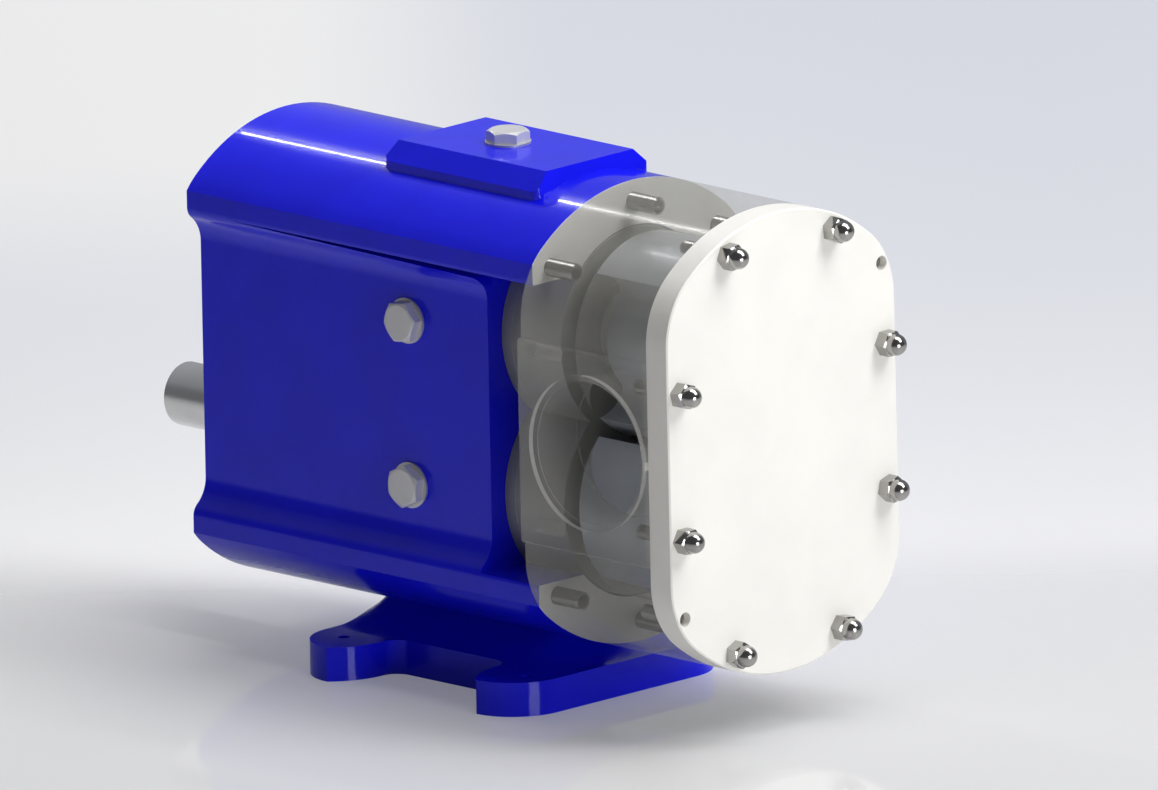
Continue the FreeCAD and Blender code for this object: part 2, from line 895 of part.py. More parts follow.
def outer_races():
    """Outer rings of all four bearings."""
    rings = []
    for z, _ in levels:
        for y in bearing_starts():
            outer = bearing_outside / 2 - fit_clearance
            inner = bearing_outside / 2 - race_thickness
            rings.append(tube(outer, inner, y, y + bearing_width, 0, z))
    return rings


def rollers(z):
    """Rollers of one shaft's two bearings."""
    circle, radius = race_radii()
    found = []
    for y in bearing_starts():
        start = y + (bearing_width - roller_length) / 2
        for step in range(roller_count):
            x, up = polar(circle, full_angle * step / roller_count, z)
            found.append(round_bar(radius, start, start + roller_length, x, up))
    return found


def cages(z):
    """Rim and bars that keep one shaft's rollers apart."""
    circle, _ = race_radii()
    found = []
    for y in bearing_starts():
        roller_end = y + (bearing_width + roller_length) / 2
        rim_start = roller_end + roller_play
        half = cage_bar_width / 2
        pieces = [tube(circle + half, circle - half, rim_start, rim_start + cage_rim, 0, z)]
        for step in range(roller_count):
            span = (circle - half, circle + half)
            start = roller_end - roller_length
            stick = block(span, (start, rim_start + cage_rim), (z - half, z + half))
            stick.rotate(Vector(0, 0, z), Vector(0, 1, 0), full_angle * (step + 0.5) / roller_count)
            pieces.append(stick)
        found.append(joined(pieces))
    return found


def spacer(z):
    """Spacer between the lock nut and the rear bearing."""
    start = gear_end_y + lock_nut_width
    return tube(spacer_radius, bearing_bore / 2 + fit_clearance, start, rear_bearing_y, 0, z)


def retainer_plate():
    """Plate that holds the front bearings in the gearbox and carries their oil seals."""
    start = window_end_y - retainer_thickness
    plate = pair_of_bars(retainer_radius, start, window_end_y)
    rings = [plate]
    for z, _ in levels:
        outer = bearing_outside / 2 - fit_clearance
        inner = bearing_outside / 2 - race_thickness
        rings.append(tube(outer, inner, window_end_y, front_bearing_y, 0, z))
    plate = joined(rings)
    tools = []
    for z, _ in levels:
        tools.append(round_bar(oil_seal_radius, start, window_end_y, 0, z))
    for x, z in retainer_screw_places():
        head = head_ratio * retainer_screw_diameter + fit_clearance
        seat = start + retainer_screw_diameter
        tools.append(round_bar(head, start, seat, x, z))
        tools.append(round_bar(retainer_screw_diameter / 2 + fit_clearance, seat, window_end_y, x, z))
    return plate.cut(tools)


def retainer_screws():
    """Sunk cap screws of the retainer plate."""
    seat = window_end_y - retainer_thickness + retainer_screw_diameter
    size = (retainer_screw_diameter, retainer_screw_length)
    return [socket_screw(*size, seat, x, z, 1) for x, z in retainer_screw_places()]


def oil_seals():
    """Lip seals in the retainer plate."""
    start = window_end_y - oil_seal_width
    inner = seal_seat_diameter / 2 + running_clearance
    return [tube(oil_seal_radius, inner, start, window_end_y, 0, z) for z, _ in levels]


def seal_housing():
    """Twin sleeve between rotor case and gearbox, round the shaft seals."""
    end_y = window_end_y - retainer_thickness
    sleeve = pair_of_bars(retainer_radius, joint_y, end_y)
    return sleeve.cut([round_bar(seal_housing_bore / 2, joint_y, end_y, 0, z) for z, _ in levels])


def stationary_rings():
    """Fixed halves of the shaft seals, in the rear wall of the case."""
    end_y = joint_y + stationary_ring_proud
    inner = seal_seat_diameter / 2 + running_clearance
    start = end_y - stationary_ring_length
    return [tube(stationary_ring_radius, inner, start, end_y, 0, z) for z, _ in levels]


def seal_ring(z):
    """Turning half of a shaft seal."""
    start = joint_y + stationary_ring_proud + seal_face_gap
    bore = seal_seat_diameter / 2 + fit_clearance
    return tube(seal_ring_radius, bore, start, start + seal_ring_length, 0, z)


def seal_collar(z):
    """Collar that drives the turning half of a shaft seal."""
    start = joint_y + stationary_ring_proud + seal_face_gap + seal_ring_length
    bore = seal_seat_diameter / 2 + fit_clearance
    collar = tube(seal_collar_radius, bore, start, start + seal_collar_length, 0, z)
    middle = start + seal_collar_length / 2
    return collar.cut(cross_bar(set_screw_diameter / 2, 0, seal_collar_radius, middle, z))


def filler_pad():
    """Raised pad on the crown, bevelled on all four sides, with upright edges below."""
    start = joint_y + filler_pad_setback - filler_pad_length / 2
    end = start + filler_pad_length
    half = filler_pad_width / 2
    top = pump_z + crown_height + filler_pad_height
    base = pump_z + crown_height - filler_pad_root
    pad = block((-half, half), (start, end), (base, top))
    uprights = [edge for edge in pad.Edges if edge.BoundBox.ZLength > same_plane]
    pad = pad.makeFillet(filler_pad_corner, uprights)
    shoulder = top - filler_pad_bevel
    lower = block((-half, half), (start, end), (base, shoulder))
    inner = half - filler_pad_bevel
    ends = (start + filler_pad_end_bevel, end - filler_pad_end_bevel)
    rings = []
    for span, run, z in (((-half, half), (start, end), shoulder), ((-inner, inner), ends, top)):
        spots = [(span[0], run[0]), (span[1], run[0]), (span[1], run[1]), (span[0], run[1])]
        corners = [Vector(x, y, z) for x, y in spots]
        rings.append(Part.makePolygon(corners + corners[:1]))
    roof = Part.makeLoft(rings, True, True)
    return pad.common(joined([lower, roof]))


def side_relief(side):
    """Groove that parts the top of the side panel from the upper lobe."""
    top = pump_z + window_half_height
    mouth = top - relief_height
    start = window_end_y
    items = [
        Arc(start + panel_corner, mouth - panel_corner, panel_corner, straight_angle, right_angle),
        Corner(start + relief_length, top - relief_tip_height),
        Corner(start + relief_length, top),
        Corner(start, top),
    ]
    face = closed_face(items, on_side)
    near = half_waist - relief_depth
    face.translate(Vector(side * near, 0, 0))
    return face.extrude(Vector(side * (half_body - near), 0, 0))


def lobe_window():
    """The open space between the rotor case and the closed part of the gearbox."""
    z_span = (pump_z - window_half_height, pump_z + window_half_height)
    gap = block((-half_body, half_body), (joint_y, window_end_y), z_span)
    sleeve = pair_of_bars(retainer_radius + window_clearance, joint_y, window_end_y)
    return [gap, sleeve]


def side_plug_places():
    """Sides and places of the four plugs in the gearbox's flanks."""
    y = joint_y + side_plug_setback
    return [(side, y, pump_z + way * side_plug_rise) for side in (-1, 1) for way in (1, -1)]


def filler_y():
    """Place of the filler plug along the pad."""
    return joint_y + filler_pad_setback + filler_plug_setback


def foot_screw_places():
    """Centres of the four screws that hold the foot, about the middle of the saddle."""
    ends = (saddle_setback - foot_screw_offset_y, saddle_setback + foot_screw_offset_y)
    return [(side * foot_screw_offset_x, y) for side in (-1, 1) for y in ends]


def foot_boss(x, y):
    """Boss on the floor of the gearbox that takes one of the foot's screws."""
    low = pump_z - crown_height + housing_wall / 2
    return post(foot_boss_radius, low, pump_z - crown_height + foot_boss_height, x, y)


def gearbox_housing():
    """Waisted casting: two lobes reach forward to the case beside open windows."""
    body = bar(waisted_outline(), joint_y, rear_y)
    body = joined([body, filler_pad()])
    inner_radius = crown_radius - housing_wall
    cavity = crowned(half_waist - housing_wall, inner_radius, cavity_corner)
    opening_radius = crown_radius - rear_opening_crown_inset
    opening = crowned(rear_opening_width / 2, opening_radius, cavity_corner)
    rebate_radius = crown_radius - rear_cover_crown_inset
    rebate = crowned(rear_cover_width / 2, rebate_radius, rear_cover_corner)
    flange_y = rear_boss_start_y
    tools = lobe_window()
    tools += [side_relief(side) for side in (-1, 1)]
    tools.append(bar(cavity, front_wall_end_y, flange_y))
    tools.append(bar(opening, flange_y, rear_seat_y))
    tools.append(bar(rebate, rear_seat_y, rear_y))
    for z, _ in levels:
        pocket_end = window_end_y + bearing_pocket_depth
        tools.append(round_bar(bearing_outside / 2, window_end_y, pocket_end, 0, z))
        lip = bearing_outside / 2 - race_thickness
        tools.append(round_bar(lip, pocket_end, front_wall_end_y, 0, z))
    for x, z in retainer_screw_places():
        end = window_end_y - retainer_thickness + retainer_screw_diameter + retainer_screw_length
        tools.append(round_bar(retainer_screw_diameter / 2 + fit_clearance, window_end_y, end, x, z))
    for x, z in rear_screw_places():
        start = rear_cover_end_y - rear_screw_diameter - rear_screw_length
        tools.append(round_bar(rear_screw_diameter / 2 + fit_clearance, start, rear_seat_y, x, z))
    for x, z in joint_stud_places():
        radius = joint_stud_diameter / 2 + fit_clearance
        tools.append(round_bar(radius, joint_y, joint_y + joint_stud_depth_in_gearbox, x, z))
    plug_radius = plug_thread_diameter / 2 + fit_clearance
    for side, y, z in side_plug_places():
        inner = half_waist - housing_wall - plug_thread_beyond_wall
        start = inner if side > 0 else -half_body
        tools.append(cross_bar(plug_radius, start, start + half_body - inner, y, z))
    low = pump_z + crown_height - filler_pad_root
    tools.append(post(plug_radius, low, pump_z + crown_height + filler_pad_height, 0, filler_y()))
    casting = body.cut(tools)
    bosses = [foot_boss(x, y) for x, y in foot_screw_places() if y > 0]
    casting = joined([casting] + bosses)
    holes = []
    for x, y in foot_screw_places():
        radius = foot_screw_diameter / 2 + fit_clearance
        tip = foot_screw_sink + foot_screw_length + foot_hole_spare
        holes.append(post(radius, 0, tip, x, y))
    return casting.cut(holes)


def rear_cover():
    """Rear cover with two bearing pockets; the lower one is open for the drive shaft."""
    radius = crown_radius - rear_cover_crown_inset
    half = rear_cover_width / 2
    outline = crowned(half - fit_clearance, radius - fit_clearance, rear_cover_corner)
    plate = bar(outline, rear_seat_y, rear_cover_end_y)
    boss = pair_of_bars(rear_boss_radius, rear_boss_start_y, rear_seat_y)
    cover = joined([plate, boss])
    tools = []
    for z, _ in levels:
        tools.append(round_bar(bearing_outside / 2, rear_boss_start_y, rear_seat_y, 0, z))
    seal_start = rear_cover_end_y - drive_seal_width
    bore = bearing_bore / 2 + drive_bore_clearance
    tools.append(round_bar(bore, rear_seat_y, seal_start, 0, lower_z))
    tools.append(round_bar(drive_seal_radius, seal_start, rear_cover_end_y, 0, lower_z))
    for x, z in rear_screw_places():
        clear = rear_screw_diameter / 2 + fit_clearance
        head = head_ratio * rear_screw_diameter + fit_clearance
        seat = rear_cover_end_y - rear_screw_diameter
        tools.append(round_bar(clear, rear_seat_y, seat, x, z))
        tools.append(round_bar(head, seat, rear_cover_end_y, x, z))
    return cover.cut(tools)


def rear_screws():
    """Sunk cap screws of the rear cover."""
    seat = rear_cover_end_y - rear_screw_diameter
    size = (rear_screw_diameter, rear_screw_length)
    return [socket_screw(*size, seat, x, z, -1) for x, z in rear_screw_places()]


def drive_oil_seal():
    """Lip seal round the drive shaft in the rear cover."""
    start = rear_cover_end_y - drive_seal_width
    inner = bearing_bore / 2 + running_clearance
    return tube(drive_seal_radius, inner, start, rear_cover_end_y, 0, lower_z)


def upright_plug(thread_length, turn):
    """Hexagon plug on its washer, with the washer's underside at height zero."""
    face = closed_face(hexagon(plug_flats, 0, 0, turn), on_plan)
    face.translate(Vector(0, 0, plug_washer_thickness))
    head = face.extrude(Vector(0, 0, plug_head_height))
    thread = post(plug_thread_diameter / 2, -thread_length, plug_washer_thickness, 0, 0)
    return joined([head, thread])


def plug_washer():
    """Flat sealing washer under a plug's collar."""
    ring = post(plug_washer_diameter / 2, 0, plug_washer_thickness, 0, 0)
    return ring.cut(post(plug_thread_diameter / 2 + fit_clearance, 0, plug_washer_thickness, 0, 0))


def save_plugs():
    """Filler plug, side plugs and all their washers."""
    pad_top = pump_z + crown_height + filler_pad_height
    filler_place = Vector(0, filler_y(), pad_top)
    depth = housing_wall + filler_pad_height + plug_thread_beyond_wall
    filler = upright_plug(depth, upper_plug_angle)
    filler.translate(filler_place)
    washers = [plug_washer()]
    washers[0].translate(filler_place)
    plugs = []
    reach = housing_wall + plug_thread_beyond_wall
    for side, y, z in side_plug_places():
        turn = upper_plug_angle if z > pump_z else lower_plug_angle
        for piece, store in ((upright_plug(reach, turn), plugs), (plug_washer(), washers)):
            laid = lay_along_x(piece, side)
            laid.translate(Vector(side * half_waist, y, z))
            store.append(laid)
    save("filler_plug", filler)
    save("side_plugs", *plugs)
    save("plug_washers", *washers)


def foot_outline():
    """Plan of the foot: round outer corners, sharp ears and a notch at each side."""
    half_x = foot_width / 2
    half_y = foot_length / 2
    middle = foot_setback
    corner_x = half_x - foot_corner
    ear_y = half_y - foot_corner
    flank_y = foot_notch_half + foot_ear_flank
    reach = math.sqrt(foot_ear_flank ** 2 - (flank_y - ear_y) ** 2)
    flank_x = half_x - reach
    ear = math.degrees(math.atan2(flank_y - ear_y, reach))
    fillet_y = foot_notch_half - foot_notch_fillet
    rear = (middle + ear_y, middle + flank_y, middle + fillet_y)
    front = (middle - ear_y, middle - flank_y, middle - fillet_y)
    down = straight_angle + right_angle
    return [
        Arc(corner_x, rear[0], foot_corner, 0, right_angle),
        Arc(-corner_x, rear[0], foot_corner, right_angle, straight_angle),
        Arc(-flank_x, rear[1], foot_ear_flank, straight_angle + ear, down),
        Arc(-flank_x, rear[2], foot_notch_fillet, right_angle, 0),
        Arc(-flank_x, front[2], foot_notch_fillet, 0, -right_angle),
        Arc(-flank_x, front[1], foot_ear_flank, right_angle, straight_angle - ear),
        Arc(-corner_x, front[0], foot_corner, straight_angle, down),
        Arc(corner_x, front[0], foot_corner, down, full_angle),
        Arc(flank_x, front[1], foot_ear_flank, ear, right_angle),
        Arc(flank_x, front[2], foot_notch_fillet, down, straight_angle),
        Arc(flank_x, rear[2], foot_notch_fillet, straight_angle, right_angle),
        Arc(flank_x, rear[1], foot_ear_flank, down, full_angle - ear),
    ]


def foot():
    """Foot plate with a saddle that flares into it all round, shaped to the gearbox."""
    half_x = foot_width / 2 + foot_corner
    half_y = foot_length / 2 + foot_corner
    ends = (foot_setback - half_y, foot_setback + half_y)
    slab = block((-half_x, half_x), ends, (0, foot_thickness))
    top = pump_z
    half_x = saddle_width / 2
    ends = (saddle_setback - saddle_length / 2, saddle_setback + saddle_length / 2)
    saddle = block((-half_x, half_x), ends, (foot_thickness, top))
    uprights = [edge for edge in saddle.Edges if edge.BoundBox.ZLength > same_plane]
    saddle = saddle.makeFillet(saddle_corner, uprights)
    whole = joined([slab, saddle])
    seam = []
    for edge in whole.Edges:
        box = edge.BoundBox
        level = abs(box.ZMin - foot_thickness) < same_plane and box.ZLength < same_plane
        if level and box.XMax < foot_width / 2 and box.XMin > -foot_width / 2:
            seam.append(edge)
    whole = whole.makeFillet(saddle_fillet, seam)
    plan = closed_face(foot_outline(), on_plan).extrude(Vector(0, 0, top))
    whole = whole.common(plan)
    tools = [bar(waisted_outline(), joint_y, rear_y)]
    for x in (-foot_bolt_spacing_x / 2, foot_bolt_spacing_x / 2):
        for y in (-foot_bolt_spacing_y / 2, foot_bolt_spacing_y / 2):
            tools.append(post(foot_bolt_hole / 2, 0, foot_thickness, x, y))
    for x, y in foot_screw_places():
        tools.append(post(foot_screw_diameter / 2 + fit_clearance, 0, top, x, y))
        tools.append(post(head_ratio * foot_screw_diameter + fit_clearance, 0, foot_screw_sink, x, y))
    return whole.cut(tools)


def foot_screws():
    """Cap screws that run up through the foot into the gearbox, heads sunk from below."""
    head = head_ratio * foot_screw_diameter
    bottom = foot_screw_sink - foot_screw_diameter
    found = []
    for x, y in foot_screw_places():
        shank = post(foot_screw_diameter / 2, foot_screw_sink, foot_screw_sink + foot_screw_length, x, y)
        cap = post(head, bottom, foot_screw_sink, x, y)
        key = closed_face(hexagon(socket_ratio * foot_screw_diameter, x, y), on_plan)
        key.translate(Vector(0, 0, bottom))
        depth = foot_screw_diameter * socket_depth_ratio
        found.append(joined([shank, cap]).cut(key.extrude(Vector(0, 0, depth))))
    return found


def save_shaft_line(name, z, first_wing, tooth, shaft):
    """Everything that turns with one shaft."""
    save(name + "_shaft", shaft)
    save(name + "_rotor", rotor(z, first_wing))
    save(name + "_rotor_key", rotor_key(z, 0))
    save(name + "_rotor_nut", rotor_nut(z))
    save(name + "_seal_ring", seal_ring(z))
    save(name + "_seal_collar", seal_collar(z))
    save(name + "_timing_gear", timing_gear(z, tooth))
    save(name + "_gear_key", gear_key(z, 0))
    save(name + "_lock_nut", lock_nut(z))
    save(name + "_bearing_spacer", spacer(z))
    save(name + "_inner_races", *inner_races(z))
    save(name + "_bearing_rollers", *rollers(z))
    save(name + "_bearing_cages", *cages(z))


def build():
    """Makes and writes every piece of the pump."""
    os.makedirs("parts", exist_ok=True)
    save("front_cover", front_cover())
    save("cover_gasket", gasket_ring(0))
    save("rotor_case", rotor_case())
    cover_fixings()
    save("joint_studs", *joint_studs())
    save("gearbox_housing", gearbox_housing())
    save("rear_cover", rear_cover())
    save("rear_cover_screws", *rear_screws())
    save("drive_oil_seal", drive_oil_seal())
    save("retainer_plate", retainer_plate())
    save("retainer_screws", *retainer_screws())
    save("oil_seals", *oil_seals())
    save("seal_housing", seal_housing())
    save("stationary_seal_rings", *stationary_rings())
    save("bearing_outer_races", *outer_races())
    save_plugs()
    save("foot", foot())
    save("foot_screws", *foot_screws())
    half_pitch = straight_angle / gear_teeth
    save_shaft_line("drive", lower_z, 0, right_angle, drive_shaft())
    save_shaft_line("driven", upper_z, right_angle, straight_angle + right_angle + half_pitch, driven_shaft())


build()
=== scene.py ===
"""Dresses the rotary lobe pump: finishes, smooth castings, nuts, plugs, threads, studio and camera."""

import json
import logging
import math
from dataclasses import dataclass, field
from enum import Enum
from typing import Any, Callable, Optional, Sequence

import bmesh
import bpy
from mathutils import Matrix, Vector

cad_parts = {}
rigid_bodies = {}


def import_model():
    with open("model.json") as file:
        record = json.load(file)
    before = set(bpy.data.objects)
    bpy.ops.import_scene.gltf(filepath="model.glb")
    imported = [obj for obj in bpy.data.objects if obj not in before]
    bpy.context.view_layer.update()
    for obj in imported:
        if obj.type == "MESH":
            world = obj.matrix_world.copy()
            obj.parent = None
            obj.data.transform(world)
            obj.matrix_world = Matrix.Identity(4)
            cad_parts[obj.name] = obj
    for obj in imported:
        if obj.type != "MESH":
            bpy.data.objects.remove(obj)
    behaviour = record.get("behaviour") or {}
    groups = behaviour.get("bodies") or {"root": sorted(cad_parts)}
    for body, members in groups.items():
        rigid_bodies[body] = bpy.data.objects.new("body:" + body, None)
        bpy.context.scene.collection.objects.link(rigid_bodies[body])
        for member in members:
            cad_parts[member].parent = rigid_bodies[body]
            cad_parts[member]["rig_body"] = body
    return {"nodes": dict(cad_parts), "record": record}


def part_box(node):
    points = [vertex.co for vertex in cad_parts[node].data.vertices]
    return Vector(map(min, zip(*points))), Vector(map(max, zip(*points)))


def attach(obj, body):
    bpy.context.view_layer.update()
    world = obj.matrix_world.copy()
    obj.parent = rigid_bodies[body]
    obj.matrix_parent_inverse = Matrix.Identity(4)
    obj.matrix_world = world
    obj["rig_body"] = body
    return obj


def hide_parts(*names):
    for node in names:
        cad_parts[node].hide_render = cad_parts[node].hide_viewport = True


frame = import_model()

logging.basicConfig(level=logging.INFO, format="%(name)s: %(message)s")
log = logging.getLogger("pump")

Colour = tuple[float, float, float]
MM = 0.001
# Joint face of the case, face of the front cover, heights of the pump's middle and of the drive shaft.
JOINT_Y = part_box("rotor_case")[1].y
COVER_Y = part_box("front_cover")[0].y
MIDDLE_Z = 0.161
DRIVE_Z = 0.116
# Corners closer than this are one corner, in the CAD's meshes and in meshes made here.
CAD_WELD = 2e-6
MADE_WELD = 1e-6


def maths(operation: str, swapped: bool = False) -> Callable[..., "Wire"]:
    """Makes a method of Wire that adds one Math node.

    Args:
        operation: The node's operation.
        swapped: Whether the other operand comes first.

    Returns:
        The method, which takes wires or numbers and returns the node's result.
    """
    def method(wire: "Wire", *others: Any) -> "Wire":
        """Adds the node."""
        operands = (*others, wire) if swapped else (wire, *others)
        return wire.graph.node("ShaderNodeMath", {"operation": operation}, dict(enumerate(operands)))

    return method


class Wire:
    """One output of a node, which can be used in Python arithmetic.

    The method size drops the sign, least and most pick the smaller and the larger of two values, and
    angle_over gives the angle whose opposite side is this wire and whose adjacent side is the other.
    """

    __add__ = maths("ADD")
    __radd__ = maths("ADD", swapped=True)
    __sub__ = maths("SUBTRACT")
    __rsub__ = maths("SUBTRACT", swapped=True)
    __mul__ = maths("MULTIPLY")
    __rmul__ = maths("MULTIPLY", swapped=True)
    __truediv__ = maths("DIVIDE")
    __pow__ = maths("POWER")
    __mod__ = maths("MODULO")
    __gt__ = maths("GREATER_THAN")
    __lt__ = maths("LESS_THAN")
    size = maths("ABSOLUTE")
    sign = maths("SIGN")
    sine = maths("SINE")
    cosine = maths("COSINE")
    angle_over = maths("ARCTAN2")
    least = maths("MINIMUM")
    most = maths("MAXIMUM")

    def __init__(self, graph: "Graph", socket: Optional[bpy.types.NodeSocket]) -> None:
        """Keeps the graph and the output that the wire starts from, if the node has one."""
        self.graph = graph
        self.socket = socket

    def ramp(self, start: float, end: float) -> "Wire":
        """Smooth step from zero at start to one at end.

        Args:
            start: Value at which the step begins.
            end: Value at which it is complete.

        Returns:
            A value from zero to one.
        """
        low, high = sorted((start, end))
        step = self.graph.node("ShaderNodeMapRange", {"interpolation_type": "SMOOTHSTEP"},
                               {0: self, 1: low, 2: high})
        return step if end > start else 1 - step


class Graph:
    """Adds nodes to a node tree, for shaders and geometry alike."""

    def __init__(self, tree: bpy.types.NodeTree) -> None:
        """Keeps the node tree."""
        self.tree = tree

    def node(self, kind: str, settings: Optional[dict] = None, values: Optional[dict] = None,
             output: Any = 0) -> Wire:
        """Adds a node of any kind.

        Args:
            kind: The node's type name.
            settings: Properties of the node, set first.
            values: Input names or places, with a number, a wire or a list of wires for each.
            output: Name or place of the output to return.

        Returns:
            The chosen output.
        """
        made = self.tree.nodes.new(kind)
        for name, value in (settings or {}).items():
            setattr(made, name, value)
        for key, value in (values or {}).items():
            for item in value if isinstance(value, list) else [value]:
                if isinstance(item, Wire):
                    self.tree.links.new(item.socket, made.inputs[key])
                else:
                    made.inputs[key].default_value = item
        return Wire(self, made.outputs[output] if made.outputs else None)

    def vector(self, x: Any = 0.0, y: Any = 0.0, z: Any = 0.0) -> Wire:
        """Joins three numbers to a vector."""
        return self.node("ShaderNodeCombineXYZ", None, {0: x, 1: y, 2: z})

    def along(self, vector: Wire, letter: str) -> Wire:
        """The part of a vector along the axis X, Y or Z."""
        return self.node("ShaderNodeSeparateXYZ", None, {0: vector}, letter)

    def choose(self, first: Any, second: Any, factor: Any) -> Wire:
        """Mixes two numbers; the factor is the share of the second."""
        return self.node("ShaderNodeMix", {"data_type": "FLOAT"}, {0: factor, 2: first, 3: second}, 0)


class ShaderGraph(Graph):
    """The node tree of one material."""

    def __init__(self, name: str) -> None:
        """Starts an empty material of that name."""
        self.material = bpy.data.materials.new(name)
        self.material.use_nodes = True
        super().__init__(self.material.node_tree)
        self.tree.nodes.clear()
        self.place = self.node("ShaderNodeTexCoord", output="Object")

    def axis(self, letter: str) -> Wire:
        """The surface point's coordinate along X, Y or Z, in metres."""
        return self.along(self.place, letter)

    def noise(self, scale: float, detail: float, stretch: Sequence[float] = (1, 1, 1),
              spot: Optional[Wire] = None) -> Wire:
        """Smooth noise over the surface.

        Args:
            scale: Spots per metre.
            detail: Number of finer layers.
            stretch: Factors on x, y and z.
            spot: The place to read the noise at, or none for the surface point.

        Returns:
            A value from zero to one.
        """
        if spot is None:
            spot = self.node("ShaderNodeMapping", None, {"Vector": self.place, "Scale": tuple(stretch)})
        return self.node("ShaderNodeTexNoise", None, {"Vector": spot, "Scale": scale, "Detail": detail})

    def blend(self, first: Any, second: Any, factor: Any) -> Wire:
        """Mixes two colours; the factor is the share of the second."""
        pair = [item if isinstance(item, Wire) else (*item, 1.0) for item in (first, second)]
        return self.node("ShaderNodeMix", {"data_type": "RGBA"}, {0: factor, 6: pair[0], 7: pair[1]}, 2)

    def facing(self, letter: str) -> Wire:
        """How far the surface faces along X, Y or Z, from minus one to one."""
        return self.along(self.node("ShaderNodeNewGeometry", output="True Normal"), letter)

    def bump(self, height: Wire, depth: float) -> Wire:
        """Tilts the surface by a height from zero to one, where one is so many metres."""
        return self.node("ShaderNodeBump", None, {"Height": height, "Distance": depth, "Strength": 1.0})

    def surface(self, shader: Wire) -> bpy.types.Material:
        """Connects the finished shader and returns the material."""
        self.node("ShaderNodeOutputMaterial", None, {"Surface": shader})
        return self.material


class Grain(Enum):
    """The way a surface was made, which sets its fine marks."""

    CAST = "cast"
    MOULDED = "moulded"
    MILLED = "milled"
    TURNED = "turned"
    GROUND = "ground"


@dataclass(frozen=True)
class Finish:
    """A finish with fine marks, small changes of tone and uneven gloss.

    Attributes:
        name: Name of the material.
        colour: Base colour.
        roughness: Mean roughness.
        metallic: One for bare metal, zero for the rest.
        grain: How the surface was made.
        depth: Depth of the fine marks, in metres.
        tone: How much the tone changes over the surface.
        spread: How much the roughness changes.
        coat: Weight of a clear top layer.
        coat_roughness: Roughness of that layer.
        centre: Height of the axis that turned marks run round, in metres.
    """

    name: str
    colour: Colour
    roughness: float
    metallic: float = 0.0
    grain: Grain = Grain.MOULDED
    depth: float = 4e-6
    tone: float = 0.06
    spread: float = 0.08
    coat: float = 0.0
    coat_roughness: float = 0.05
    centre: float = MIDDLE_Z

    def marks(self, graph: ShaderGraph) -> Wire:
        """The height of the fine marks, from zero to one."""
        if self.grain is Grain.CAST:
            return graph.noise(260, 4) * 0.7 + graph.noise(1900, 2) * 0.3
        if self.grain is Grain.MILLED:
            return graph.noise(120, 3, (1, 1, 22)) * 0.6 + graph.noise(90, 2, (24, 1, 1)) * 0.4
        if self.grain is Grain.GROUND:
            return graph.noise(160, 3, (1, 30, 1))
        if self.grain is Grain.TURNED:
            across = graph.axis("X")
            up = graph.axis("Z") - self.centre
            radius = (across * across + up * up) ** 0.5
            return graph.noise(2600, 3, spot=graph.vector(radius, graph.axis("Y")))
        return graph.noise(420, 3)

    def tint(self, graph: ShaderGraph) -> Wire:
        """The base colour with its small changes."""
        darker = tuple(part * (1 - self.tone) for part in self.colour)
        lighter = tuple(min(1.0, part * (1 + self.tone)) for part in self.colour)
        return graph.blend(darker, lighter, graph.noise(24, 4).ramp(0.3, 0.7))

    def gloss(self, graph: ShaderGraph) -> Wire:
        """The roughness with its small changes."""
        return self.roughness + (graph.noise(55, 4) - 0.5) * self.spread

    def inputs(self, graph: ShaderGraph) -> dict[str, Any]:
        """The inputs of the shader.

        Args:
            graph: The graph of the material.

        Returns:
            A wire or a number for each input that is set.
        """
        return {
            "Base Color": self.tint(graph),
            "Roughness": self.gloss(graph),
            "Metallic": self.metallic,
            "Coat Weight": self.coat,
            "Coat Roughness": self.coat_roughness,
            "Normal": graph.bump(self.marks(graph), self.depth),
        }

    def build(self) -> bpy.types.Material:
        """Makes the material."""
        graph = ShaderGraph(self.name)
        return graph.surface(graph.node("ShaderNodeBsdfPrincipled", None, self.inputs(graph)))


@dataclass(frozen=True)
class PaintedCasting(Finish):
    """Glossy paint on a casting, with machined joint faces left bare.

    Attributes:
        bare_colour: Colour of the machined faces.
        bare_y: Place of the joint face that is bare, in metres.
        bare_skin: Depth behind that face which still counts as bare, in metres.
        bare_roughness: Roughness of the machined faces.
        shine: Strength of the paint's own reflections.
    """

    bare_colour: Colour = (0.93, 0.92, 0.88)
    bare_y: float = JOINT_Y
    bare_skin: float = 0.0002
    bare_roughness: float = 0.38
    shine: float = 0.12

    def inputs(self, graph: ShaderGraph) -> dict[str, Any]:
        """The inputs of the shader, with the bare joint face."""
        values = super().inputs(graph)
        bare = graph.axis("Y") < self.bare_y + self.bare_skin
        values["Base Color"] = graph.blend(values["Base Color"], self.bare_colour, bare)
        values["Roughness"] = graph.choose(values["Roughness"], self.bare_roughness, bare)
        values["Coat Weight"] = graph.choose(self.coat, 0.0, bare)
        values["Specular IOR Level"] = self.shine
        return values


